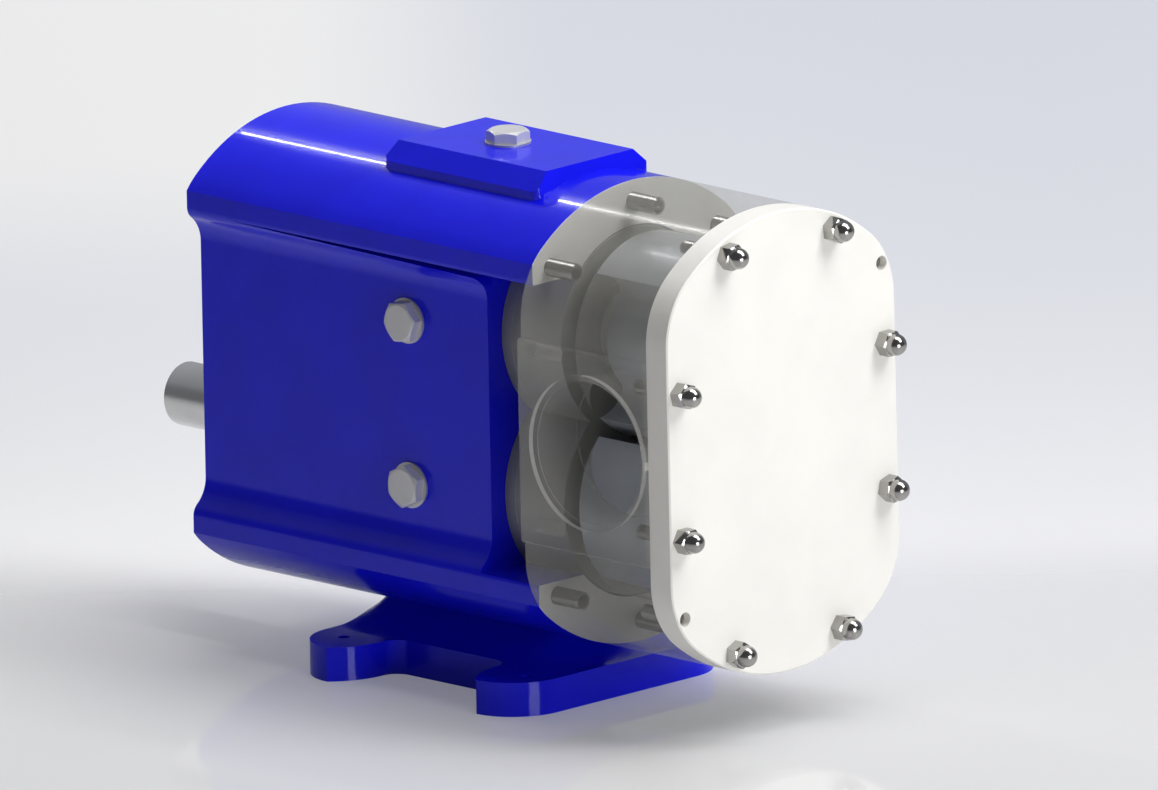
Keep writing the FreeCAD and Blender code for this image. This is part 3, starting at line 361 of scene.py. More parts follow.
@dataclass(frozen=True)
class ClearCasting(Finish):
    """Clear moulded case: see-through grey body with a frosted mouth round each port.

    Attributes:
        cover: Share of the body that hides what is behind it.
        clouds: How much that share changes over the body.
        index: Refractive index.
        frosted: The share of cover in the port mouths.
        mouth_x: Distance of the mouths' seats from the middle, in metres.
        mouth_edge: Width of the mouths' soft limit there, in metres.
        mouth_y: Place of the ports along the shafts, in metres.
        mouth_reach: Radius that holds the whole mouth, in metres.
        mouth_colour: Colour of the port mouths.
        sideways: A face that looks this far or more to the side is the pad, not the mouth.
    """

    cover: float = 0.29
    clouds: float = 0.05
    index: float = 1.49
    frosted: float = 0.5
    mouth_x: float = 0.0879
    mouth_edge: float = 0.0004
    mouth_y: float = -0.149
    mouth_reach: float = 0.045
    mouth_colour: Colour = (0.74, 0.74, 0.71)
    sideways: float = 0.9

    def inputs(self, graph: ShaderGraph) -> dict[str, Any]:
        """The inputs of the shader, with the frosted mouths."""
        values = super().inputs(graph)
        uneven = (graph.noise(18, 3) - 0.5) * self.clouds
        mouth = graph.axis("X").size().ramp(self.mouth_x - self.mouth_edge, self.mouth_x)
        along = graph.axis("Y") - self.mouth_y
        up = graph.axis("Z") - self.centre
        near = (along * along + up * up) ** 0.5 < self.mouth_reach
        ring = mouth * near * (graph.facing("X").size() < self.sideways)
        values["Base Color"] = graph.blend(values["Base Color"], self.mouth_colour, ring)
        values["IOR"] = self.index
        values["Alpha"] = graph.choose(self.cover + uneven, self.frosted, ring)
        return values


# Name, colour, roughness, metallic, grain, depth, tone, spread, coat, coat roughness.
FINISHES = (
    PaintedCasting("blue_paint", (0.006, 0.008, 0.76), 0.18, 0.0, Grain.CAST, 5e-6, 0.05, 0.05, 0.4, 0.03),
    ClearCasting("clear_case", (0.44, 0.435, 0.40), 0.12, 0.0, Grain.MOULDED, 2e-6, 0.03, 0.04),
    Finish("white_cover", (0.86, 0.845, 0.80), 0.42, 0.0, Grain.MOULDED, 4e-6, 0.02, 0.06),
    Finish("polished_steel", (0.40, 0.39, 0.375), 0.14, 1.0, Grain.TURNED, 1e-6, 0.06, 0.06),
    Finish("zinc_steel", (0.70, 0.70, 0.71), 0.32, 0.5, Grain.TURNED, 3e-6, 0.08, 0.1),
    Finish("pale_plug", (0.66, 0.66, 0.68), 0.30, 0.25, Grain.TURNED, 3e-6, 0.05, 0.08),
    Finish("sealing_washer", (0.60, 0.60, 0.62), 0.35, 0.6, Grain.TURNED, 3e-6, 0.06, 0.08),
    Finish("grey_steel", (0.30, 0.30, 0.28), 0.45, 0.35, Grain.TURNED, 5e-6, 0.08, 0.1),
    Finish("shaft_steel", (0.80, 0.80, 0.775), 0.20, 0.8, Grain.TURNED, 2e-6, 0.05, 0.08, centre=DRIVE_Z),
    Finish("rotor_steel", (0.56, 0.59, 0.64), 0.36, 0.45, Grain.MILLED, 4e-6, 0.06, 0.1),
    Finish("gear_steel", (0.36, 0.36, 0.37), 0.34, 1.0, Grain.MILLED, 4e-6, 0.1, 0.12),
    Finish("bearing_steel", (0.62, 0.62, 0.63), 0.16, 1.0, Grain.GROUND, 1e-6, 0.04, 0.05),
    Finish("cage_brass", (0.72, 0.50, 0.20), 0.3, 1.0, Grain.TURNED, 3e-6, 0.08, 0.1),
    Finish("black_rubber", (0.025, 0.025, 0.025), 0.65, 0.0, Grain.MOULDED, 6e-6, 0.2, 0.1),
    Finish("seal_carbon", (0.06, 0.06, 0.065), 0.4, 0.0, Grain.TURNED, 2e-6, 0.15, 0.1),
    Finish("seal_ceramic", (0.80, 0.78, 0.73), 0.25, 0.0, Grain.GROUND, 1e-6, 0.03, 0.05),
)


def shown(name: str, data: bpy.types.ID) -> bpy.types.Object:
    """Makes an object of a mesh, lamp or camera and puts it into the scene."""
    made = bpy.data.objects.new(name, data)
    bpy.context.scene.collection.objects.link(made)
    return made


class Workshop:
    """Holds the built materials and the steps that finish a piece."""

    def __init__(self) -> None:
        """Builds every material once."""
        self.materials = {finish.name: finish.build() for finish in FINISHES}
        self.slots = {row["node"]: row["material_slot"] for row in frame["record"]["subparts"]}

    def paint_node(self, node: str) -> None:
        """Gives a CAD node the material of its slot."""
        mesh = frame["nodes"][node].data
        mesh.materials.clear()
        mesh.materials.append(self.materials[self.slots[node]])

    def add(self, name: str, mesh: bpy.types.Mesh, *nodes: str) -> bpy.types.Object:
        """Shows a mesh in place of CAD nodes of one body.

        Args:
            name: Name of the new piece.
            mesh: Its mesh, already in place.
            nodes: The nodes that it stands for; the first gives the body and the slot.

        Returns:
            The new object.
        """
        piece = shown(name, mesh)
        mesh.materials.clear()
        mesh.materials.append(self.materials[self.slots[nodes[0]]])
        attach(piece, frame["nodes"][nodes[0]]["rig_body"])
        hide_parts(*nodes)
        log.info("%s stands for %s", name, ", ".join(nodes))
        return piece

    def spread(self, graph: "GeometryGraph", shape: Wire, name: str, spots: Sequence[tuple[Vector, Vector]],
               node: str, degrees: float = 30.0) -> None:
        """Repeats a shape on its spots and shows the result in place of a CAD node.

        Args:
            graph: The tree that the shape was built in, which ends here.
            shape: The shape.
            name: Name of the new piece.
            spots: Place and turn of each copy.
            node: The node that the piece stands for.
            degrees: Angle above which an edge stays sharp.
        """
        graph.repeat(shape)
        self.add(name, graph.run(name, spots, degrees), node)


def merged_copy(node: str) -> bmesh.types.BMesh:
    """A copy of a CAD node with its loose triangles joined."""
    joined = bmesh.new()
    joined.from_mesh(frame["nodes"][node].data)
    bmesh.ops.remove_doubles(joined, verts=joined.verts, dist=CAD_WELD)
    return joined


def smooth_by_angle(joined: bmesh.types.BMesh, degrees: float) -> None:
    """Shades smooth, with a sharp line where faces meet at more than so many degrees."""
    for face in joined.faces:
        face.smooth = True
    limit = math.radians(degrees)
    for edge in joined.edges:
        edge.smooth = len(edge.link_faces) == 2 and edge.calc_face_angle(math.pi) < limit


def to_mesh(joined: bmesh.types.BMesh, name: str) -> bpy.types.Mesh:
    """Turns working geometry into a mesh of that name and frees it."""
    mesh = bpy.data.meshes.new(name)
    joined.to_mesh(mesh)
    joined.free()
    return mesh


def islands(node: str) -> list[tuple[Vector, Vector]]:
    """The boxes of a node's separate solids.

    Args:
        node: Name of the node.

    Returns:
        Lowest and highest corner of each solid.
    """
    joined = merged_copy(node)
    left = set(joined.verts)
    boxes = []
    while left:
        stack = [left.pop()]
        found = []
        while stack:
            spot = stack.pop()
            found.append(spot.co.copy())
            for edge in spot.link_edges:
                other = edge.other_vert(spot)
                if other in left:
                    left.discard(other)
                    stack.append(other)
        low = Vector(min(spot[axis] for spot in found) for axis in range(3))
        high = Vector(max(spot[axis] for spot in found) for axis in range(3))
        boxes.append((low, high))
    joined.free()
    return sorted(boxes, key=lambda box: tuple(box[0]))


class GeometryGraph(Graph):
    """A Geometry Nodes tree with named inputs."""

    def __init__(self, name: str) -> None:
        """Starts a tree of that name with one geometry input and one output."""
        super().__init__(bpy.data.node_groups.new(name, "GeometryNodeTree"))
        self.tree.is_modifier = True
        self.tree.interface.new_socket("Carrier", in_out="INPUT", socket_type="NodeSocketGeometry")
        self.tree.interface.new_socket("Geometry", in_out="OUTPUT", socket_type="NodeSocketGeometry")
        self.source = self.tree.nodes.new("NodeGroupInput")
        self.values: dict[str, Any] = {}

    def entry(self, name: str, value: Any, kind: str = "NodeSocketFloat") -> Wire:
        """Adds a named input.

        Args:
            name: Name of the input.
            value: The value that the modifier sets on it.
            kind: Type of the input's socket.

        Returns:
            The input's wire.
        """
        socket = self.tree.interface.new_socket(name, in_out="INPUT", socket_type=kind)
        self.values[socket.identifier] = value
        return Wire(self, self.source.outputs[name])

    def moved(self, shape: Wire, shift: Any) -> Wire:
        """Moves a shape by a vector, or by a distance up its own axis."""
        if not isinstance(shift, tuple):
            shift = self.vector(z=shift)
        return self.node("GeometryNodeTransform", None, {"Geometry": shape, "Translation": shift})

    def rod(self, sides: int, radius: Any, low: Any, high: Any) -> Wire:
        """A prism or cylinder between two heights.

        Args:
            sides: Number of sides.
            radius: Radius over the corners.
            low: Lower height.
            high: Upper height.

        Returns:
            The shape.
        """
        shape = self.node("GeometryNodeMeshCylinder", None,
                          {"Vertices": sides, "Radius": radius, "Depth": high - low})
        return self.moved(shape, (low + high) * 0.5)

    def join(self, *shapes: Wire) -> Wire:
        """Puts shapes together without cutting them."""
        return self.node("GeometryNodeJoinGeometry", None, {0: list(shapes)})

    def less(self, blank: Wire, *tools: Wire) -> Wire:
        """Cuts tools out of a blank."""
        settings = {"operation": "DIFFERENCE", "solver": "EXACT"}
        return self.node("GeometryNodeMeshBoolean", settings, {"Mesh 1": blank, "Mesh 2": list(tools)})

    def repeat(self, shape: Wire) -> None:
        """Puts the shape on every point of the carrier and ends the tree."""
        turn = self.node("GeometryNodeInputNamedAttribute", {"data_type": "FLOAT_VECTOR"}, {"Name": "turn"})
        carrier = Wire(self, self.source.outputs["Carrier"])
        spread = self.node("GeometryNodeInstanceOnPoints", None,
                           {"Points": carrier, "Instance": shape, "Rotation": turn})
        real = self.node("GeometryNodeRealizeInstances", None, {"Geometry": spread})
        self.node("NodeGroupOutput", None, {0: real})

    def run(self, name: str, spots: Sequence[tuple[Vector, Vector]], degrees: float) -> bpy.types.Mesh:
        """Evaluates the tree on points and returns a plain mesh.

        Args:
            name: Name of the mesh.
            spots: Place and turn of each point.
            degrees: Angle above which an edge stays sharp.

        Returns:
            The mesh.
        """
        carrier = bpy.data.meshes.new(name + "_points")
        carrier.from_pydata([tuple(place) for place, _ in spots], [], [])
        turns = carrier.attributes.new("turn", "FLOAT_VECTOR", "POINT")
        for index, (_, turn) in enumerate(spots):
            turns.data[index].vector = turn
        holder = shown(name + "_points", carrier)
        modifier = holder.modifiers.new(name, "NODES")
        modifier.node_group = self.tree
        for identifier, value in self.values.items():
            modifier[identifier] = value
        graph = bpy.context.evaluated_depsgraph_get()
        plain = bpy.data.meshes.new_from_object(holder.evaluated_get(graph))
        holder.modifiers.remove(modifier)
        bpy.data.objects.remove(holder)
        joined = bmesh.new()
        joined.from_mesh(plain)
        bmesh.ops.remove_doubles(joined, verts=joined.verts, dist=MADE_WELD)
        bmesh.ops.recalc_face_normals(joined, faces=joined.faces)
        smooth_by_angle(joined, degrees)
        bpy.data.meshes.remove(plain)
        return to_mesh(joined, name)


TOWARDS_FRONT = Vector((math.pi / 2, 0, 0))
TOWARDS_REAR = Vector((-math.pi / 2, 0, 0))
TOWARDS_LEFT = Vector((0, -math.pi / 2, 0))
TOWARDS_RIGHT = Vector((0, math.pi / 2, 0))
DOWNWARDS = Vector((math.pi, 0, 0))

# Flat on top of a hexagon as a share of its size across flats, and the chamfer's run per unit of height.
FLAT_SHARE = 0.46
CHAMFER_RUN = 1.73
# Depth of a thread as a share of its pitch.
THREAD_DEPTH = 0.6


def turned_head(graph: GeometryGraph, sides: int, corner: Any, land: Any, low: Any, high: Any) -> Wire:
    """A head whose upper corners are turned down to a cone.

    Args:
        graph: The tree to build in.
        sides: Number of sides of the head.
        corner: Radius over the corners.
        land: Radius of the flat that is left on top.
        low: Height of the underside.
        high: Height of the top.

    Returns:
        The head.
    """
    blank = graph.rod(sides, corner, low, high)
    tall = corner * 2.0
    cone = graph.node("GeometryNodeMeshCone", None, {
        "Vertices": 64, "Radius Top": land, "Radius Bottom": land + tall * CHAMFER_RUN, "Depth": tall})
    cone = graph.moved(cone, high - tall)
    return graph.node("GeometryNodeMeshBoolean", {"operation": "INTERSECT", "solver": "EXACT"},
                      {"Mesh 2": [blank, cone]})


def threaded(graph: GeometryGraph, sides: int, radius: float, length: float, pitch: float,
             top: Any) -> list[Wire]:
    """A threaded rod that reaches down from height zero.

    Args:
        graph: The tree to build in.
        sides: Number of sides of the core.
        radius: Radius over the thread.
        length: Length of the thread.
        pitch: Distance between turns.
        top: Height of the core's upper end.

    Returns:
        The core, and the turns as a stack of rings.
    """
    over = graph.entry("Thread radius", radius)
    reach = graph.entry("Thread length", length)
    step = graph.entry("Pitch", pitch)
    count = graph.entry("Turns", int(length / pitch) - 1, "NodeSocketInt")
    root = over - step * THREAD_DEPTH
    core = graph.rod(sides, root, reach * -1.0, top)
    ring = graph.node("GeometryNodeMeshCone", None, {
        "Vertices": 40, "Radius Top": root, "Radius Bottom": over, "Depth": step * 0.5})
    down = graph.vector(z=step * -1.0)
    line = graph.node("GeometryNodeMeshLine", None, {"Count": count, "Start Location": down, "Offset": down})
    return [core, graph.node("GeometryNodeInstanceOnPoints", None, {"Points": line, "Instance": ring})]


@dataclass
class Maker:
    """Something that makes pieces in the workshop.

    Attributes:
        shop: The workshop that finishes pieces.
    """

    shop: Workshop


@dataclass
class CapNuts(Maker):
    """The domed nuts on the front cover.

    Attributes:
        flats: Size across the flats.
        hexagon_height: Height of the hexagon.
        height: Height over the dome.
        dome: Radius of the dome.
        twist: Turn from one nut to the next, in degrees.
    """

    flats: float = 13 * MM
    hexagon_height: float = 7.5 * MM
    height: float = 15 * MM
    dome: float = 6.0 * MM
    twist: float = 17.0

    def build(self) -> None:
        """Builds the nuts on their studs."""
        graph = GeometryGraph("domed_nut")
        flats = graph.entry("Across flats", self.flats)
        hexagon = graph.entry("Hexagon height", self.hexagon_height)
        height = graph.entry("Height", self.height)
        dome = graph.entry("Dome radius", self.dome)
        head = turned_head(graph, 6, flats / math.sqrt(3), flats * FLAT_SHARE, 0.0, hexagon)
        neck = graph.rod(48, dome, hexagon * 0.5, height - dome)
        ball = graph.node("GeometryNodeMeshUVSphere", None, {"Segments": 48, "Rings": 24, "Radius": dome})
        ball = graph.moved(ball, height - dome)
        spots = []
        for index, (low, high) in enumerate(islands("cap_nuts")):
            place = Vector(((low.x + high.x) / 2, high.y, (low.z + high.z) / 2))
            turn = TOWARDS_FRONT + Vector((0, math.radians(self.twist * index), 0))
            spots.append((place, turn))
        self.shop.spread(graph, graph.join(head, neck, ball), "domed_nuts", spots, "cap_nuts")


@dataclass
class Plugs(Maker):
    """The hexagon plugs in the crown and both flanks of the gearbox.

    Attributes:
        flats: Size across the flats.
        washer: Thickness of the washer under the head.
        head: Height of the hexagon.
        thread: Radius of the thread.
        pitch: Distance between thread turns.
        crown_lean: Turn of the crown's plug about its own axis, in degrees.
        upper_lean: The same for the upper plugs in the flanks.
        lower_lean: The same for the lower ones.
    """

    flats: float = 21 * MM
    washer: float = 1.2 * MM
    head: float = 6.5 * MM
    thread: float = 9 * MM
    pitch: float = 1.5 * MM
    crown_lean: float = 8.0
    upper_lean: float = 8.0
    lower_lean: float = 25.0

    def fit(self, length: float, name: str, spots: Sequence[tuple[Vector, Vector]], node: str) -> None:
        """Builds plugs of one length.

        Args:
            length: Length of the thread below the washer.
            name: Name of the new piece.
            spots: Place and turn of each plug.
            node: The node that it stands for.
        """
        graph = GeometryGraph("hexagon_plug")
        flats = graph.entry("Across flats", self.flats)
        washer = graph.entry("Washer thickness", self.washer)
        top = graph.entry("Top of head", self.washer + self.head)
        head = turned_head(graph, 6, flats / math.sqrt(3), flats * FLAT_SHARE, washer, top)
        rod = threaded(graph, 40, self.thread, length, self.pitch, washer)
        self.shop.spread(graph, graph.join(head, *rod), name, spots, node)

    def build(self) -> None:
        """Builds the plugs in their places."""
        low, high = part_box("filler_plug")
        seat = high.z - self.washer - self.head
        place = Vector(((low.x + high.x) / 2, (low.y + high.y) / 2, seat))
        turn = Vector((0, 0, math.radians(self.crown_lean)))
        self.fit(seat - low.z, "crown_plug", [(place, turn)], "filler_plug")
        spots = []
        length = 0.0
        for low, high in islands("side_plugs"):
            side = -1 if low.x < 0 else 1
            outer = low.x if side < 0 else high.x
            inner = high.x if side < 0 else low.x
            seat = outer - side * (self.washer + self.head)
            length = abs(seat - inner)
            place = Vector((seat, (low.y + high.y) / 2, (low.z + high.z) / 2))
            lean = math.radians(90 + (self.upper_lean if place.z > MIDDLE_Z else self.lower_lean))
            turn = TOWARDS_LEFT if side < 0 else TOWARDS_RIGHT
            twist = Matrix.Rotation(turn.y, 4, "Y") @ Matrix.Rotation(lean, 4, "Z")
            spots.append((place, Vector(twist.to_euler())))
        self.fit(length, "flank_plugs", spots, "side_plugs")


@dataclass
class Studs(Maker):
    """Threaded studs that lie along the shafts.

    Attributes:
        node: The CAD node with the plain studs.
        pitch: Distance between thread turns.
    """

    node: str
    pitch: float

    def build(self) -> None:
        """Builds the studs in their places."""
        boxes = islands(self.node)
        low, high = boxes[0]
        graph = GeometryGraph("threaded_stud")
        rod = threaded(graph, 32, (high.x - low.x) / 2, high.y - low.y, self.pitch, 0.0)
        spots = [(Vector(((a.x + b.x) / 2, a.y, (a.z + b.z) / 2)), TOWARDS_FRONT) for a, b in boxes]
        self.shop.spread(graph, graph.join(*rod), "threaded_" + self.node, spots, self.node)


@dataclass
class SunkScrews(Maker):
    """Cap screws with a hexagon socket, sunk into a flat face.

    Attributes:
        node: The CAD node with the screws.
        size: Diameter of the shank.
        turn: Turn that points the heads outwards.
        rim: Radius of the head, as a share of the size, as are the next two.
        land: Radius of the flat on top of the head.
        socket: Radius of the hexagon socket over its corners.
    """

    node: str
    size: float
    turn: Vector
    rim: float = 0.8
    land: float = 0.74
    socket: float = 0.46

    def build(self) -> None:
        """Builds the screws in their places."""
        outward = Vector((0, 0, 1))
        outward.rotate(Matrix.Rotation(self.turn.x, 3, "X"))
        boxes = islands(self.node)
        spots = []
        for low, high in boxes:
            middle = (low + high) / 2
            half = abs((high - low).dot(outward)) / 2
            spots.append((middle + outward * (half - self.size), self.turn))
        low, high = boxes[0]
        length = abs((high - low).dot(outward)) - self.size
        graph = GeometryGraph("sunk_cap_screw")
        size = graph.entry("Shank diameter", self.size)
        reach = graph.entry("Length", length)
        head = turned_head(graph, 40, size * self.rim, size * self.land, 0.0, size)
        head = graph.less(head, graph.rod(6, size * self.socket, size * 0.5, size * 1.5))
        shank = graph.rod(32, size * 0.5, reach * -1.0, size * 0.1)
        self.shop.spread(graph, graph.join(head, shank), "socket_" + self.node, spots, self.node)


@dataclass
class Gasket(Maker):
    """The joint ring in the face of the rotor case, swept along its track.

    Attributes:
        width: Width of the ring.
        corner: Radius of its section's corners.
    """

    width: float = 4 * MM
    corner: float = 0.4 * MM

    def build(self) -> None:
        """Sweeps the ring's section along two half circles and the straights between."""
        low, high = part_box("cover_gasket")
        outer = (high.x - low.x) / 2
        graph = GeometryGraph("swept_gasket")
        radius = graph.entry("Track radius", outer - self.width / 2)
        straight = graph.entry("Half straight", (high.z - low.z) / 2 - outer)
        width = graph.entry("Width", self.width)
        thick = graph.entry("Thickness", high.y - low.y)
        ring = graph.node("GeometryNodeCurvePrimitiveCircle", None,
                          {"Resolution": 160, "Radius": radius}, "Curve")
        up = graph.along(graph.node("GeometryNodeInputPosition"), "Y")
        shift = graph.vector(y=up.sign() * straight)
        track = graph.node("GeometryNodeSetPosition", None, {"Geometry": ring, "Offset": shift})
        section = graph.node("GeometryNodeCurvePrimitiveQuadrilateral", None,
                             {"Width": width, "Height": thick})
        section = graph.node("GeometryNodeFilletCurve", {"mode": "POLY"},
                             {"Curve": section, "Radius": self.corner, "Count": 3})
        swept = graph.node("GeometryNodeCurveToMesh", None, {"Curve": track, "Profile Curve": section})
        spots = [((low + high) / 2, TOWARDS_FRONT)]
        self.shop.spread(graph, swept, "swept_gasket", spots, "cover_gasket")


@dataclass
class Rotors(Maker):
    """The two double-winged rotors, drawn from the path of each other's corners.

    Attributes:
        spacing: Distance between the shafts.
        tip: Radius over the wings.
        hub: Radius between the wings.
        gap: Angle kept free between the wings of the two rotors.
        land: Angle between a wing's corner and its round tip.
        recess: Radius and depth of the recess for the clamp nut.
        bore: Radius of the bore.
        keyway: Width, height and length of the block that cuts the keyway.
        keyway_place: Middle of that block, from the rotor's rear end.
        flank_steps: Steps along each flank.
        arc_steps: Steps along each round tip and hub.
        crease: Angle above which an edge stays sharp, in degrees.
    """

    spacing: float = 90 * MM
    tip: float = 56.5 * MM
    hub: float = 33.0 * MM
    gap: float = math.radians(1.4)
    land: float = math.radians(8.0)
    recess: tuple[float, float] = (23 * MM, 13 * MM)
    bore: float = 15.05 * MM
    keyway: tuple[float, float, float] = (8.1 * MM, 7 * MM, 56.1 * MM)
    keyway_place: tuple[float, float, float] = (0.0, 14.65 * MM, 36 * MM)
    flank_steps: int = 16
    arc_steps: int = 16
    crease: float = 24.0

    def outline(self, graph: GeometryGraph, first: Wire, tip: Wire, hub: Wire) -> Wire:
        """The closed outline of a rotor as a polyline.

        Args:
            graph: The tree to build in.
            first: Angle of the first wing.
            tip: Radius over the wings.
            hub: Radius between the wings.

        Returns:
            The outline as a curve.
        """
        flank, arc = self.flank_steps, self.arc_steps
        back = 2 * flank + arc + 2
        half_count = back + arc
        index = graph.node("GeometryNodeInputIndex")
        local = index % half_count
        middle = first + (index - local) * (math.pi / half_count)
        wing = math.pi / 4 - self.gap / 2
        last = math.acos(self.spacing / (2 * self.tip))
        turn = local.least(back - local).least(flank) * (last / flank)
        along = self.spacing - tip * turn.cosine()
        aside = tip * turn.sine()
        reach = (along * along + aside * aside) ** 0.5
        stretch = (tip - hub) / (tip - (self.spacing - tip))
        reach = tip - (tip - reach) * stretch
        lean = (math.pi / 2 - self.gap - wing) - (aside.angle_over(along) - turn)
        side = (local > flank + 0.5) * 2.0 - 1.0
        over = (wing - self.land) * 2.0 / arc
        top = (local > flank + 0.5) * (local < flank + arc + 1.5)
        low = local > back + 0.5
        on_top = (local - (flank + 1.0)) * over - (wing - self.land)
        on_hub = (local - float(back)) * ((math.pi - 2 * wing) / arc) + wing
        angle = graph.choose(side * lean, on_top, top)
        angle = graph.choose(angle, on_hub, low) + middle
        radius = graph.choose(graph.choose(reach, tip, top), hub, low)
        spot = graph.vector(radius * angle.cosine(), radius * angle.sine())
        line = graph.node("GeometryNodeMeshLine", None, {"Count": 2 * half_count})
        line = graph.node("GeometryNodeSetPosition", None, {"Geometry": line, "Position": spot})
        curve = graph.node("GeometryNodeMeshToCurve", None, {"Mesh": line})
        return graph.node("GeometryNodeSetSplineCyclic", None, {"Geometry": curve, "Cyclic": True})

    def build(self) -> None:
        """Builds both rotors in their start position."""
        for name, first in (("drive_rotor", 0.0), ("driven_rotor", math.pi / 2)):
            low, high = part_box(name)
            graph = GeometryGraph("bi_wing_rotor")
            angle = graph.entry("First wing", first)
            tip = graph.entry("Tip radius", self.tip)
            hub = graph.entry("Hub radius", self.hub)
            bore = graph.entry("Bore radius", self.bore)
            length = graph.entry("Length", high.y - low.y)
            rail = graph.node("GeometryNodeCurvePrimitiveLine", None,
                              {"Start": (0, 0, 0), "End": graph.vector(z=length)})
            blank = graph.node("GeometryNodeCurveToMesh", None, {
                "Curve": rail, "Profile Curve": self.outline(graph, angle, tip, hub), "Fill Caps": True})
            hole = graph.rod(48, bore, length * -0.1, length * 1.1)
            recess = graph.rod(64, self.recess[0], length - self.recess[1], length * 1.1)
            slot = graph.node("GeometryNodeMeshCube", None, {"Size": self.keyway})
            slot = graph.moved(slot, self.keyway_place)
            shape = graph.less(blank, hole, recess, slot)
            spots = [(Vector((0, high.y, (low.z + high.z) / 2)), TOWARDS_FRONT)]
            self.shop.spread(graph, shape, "bi_wing_" + name, spots, name, self.crease)


@dataclass
class Castings(Maker):
    """The large castings and the cover, shaded smooth with softened edges.

    Attributes:
        sharp: Angle above which an edge counts as sharp, in degrees.
        flat: Angle below which faces are joined to one flat face, in degrees.
        standoff: Distance that keeps the clear case's end faces off its neighbours.
    """

    sharp: float = 32.0
    flat: float = 0.4
    standoff: float = 0.06 * MM

    def draw_in_ends(self, joined: bmesh.types.BMesh) -> None:
        """Draws in both ends of the clear case, so that neither lies in the plane of a neighbour's face."""
        front = min(spot.co.y for spot in joined.verts)
        rear = max(spot.co.y for spot in joined.verts)
        for spot in joined.verts:
            if spot.co.y < front + self.standoff:
                spot.co.y = front + self.standoff
            elif spot.co.y > rear - self.standoff:
                spot.co.y = rear - self.standoff

    def soften(self, node: str, name: str, width: float = 0.0) -> None:
        """Replaces a node by a smooth copy.

        Args:
            node: Name of the node.
            name: Name of the new piece.
            width: Width of the softened edges, or zero to leave them.
        """
        joined = merged_copy(node)
        bmesh.ops.dissolve_limit(joined, angle_limit=math.radians(self.flat), verts=joined.verts,
                                 edges=joined.edges, use_dissolve_boundaries=False, delimit={"NORMAL"})
        if node == "rotor_case":
            self.draw_in_ends(joined)
        smooth_by_angle(joined, self.sharp)
        piece = self.shop.add(name, to_mesh(joined, name), node)
        if width > 0:
            bevel = piece.modifiers.new("soft_edge", "BEVEL")
            bevel.width = width
            bevel.segments = 2
            bevel.limit_method = "ANGLE"
            bevel.angle_limit = math.radians(self.sharp)
            bevel.use_clamp_overlap = True
        level = piece.modifiers.new("flat_faces_stay_flat", "WEIGHTED_NORMAL")
        level.mode = "FACE_AREA"
        level.weight = 100
        level.keep_sharp = True

    def build(self) -> None:
        """Replaces the castings one by one."""
        self.soften("gearbox_housing", "gearbox_casting", 0.4 * MM)
        self.soften("foot", "foot_casting", 0.6 * MM)
        self.soften("front_cover", "cover_plate")
        self.soften("rotor_case", "clear_rotor_case")
        self.soften("rear_cover", "rear_cover_casting", 0.4 * MM)
        self.soften("seal_housing", "seal_sleeve", 0.3 * MM)
        self.soften("retainer_plate", "retainer_casting", 0.3 * MM)
        for side in ("drive", "driven"):
            self.soften(side + "_shaft", side + "_turned_shaft")
            self.soften(side + "_rotor_nut", side + "_clamp_nut", 0.3 * MM)


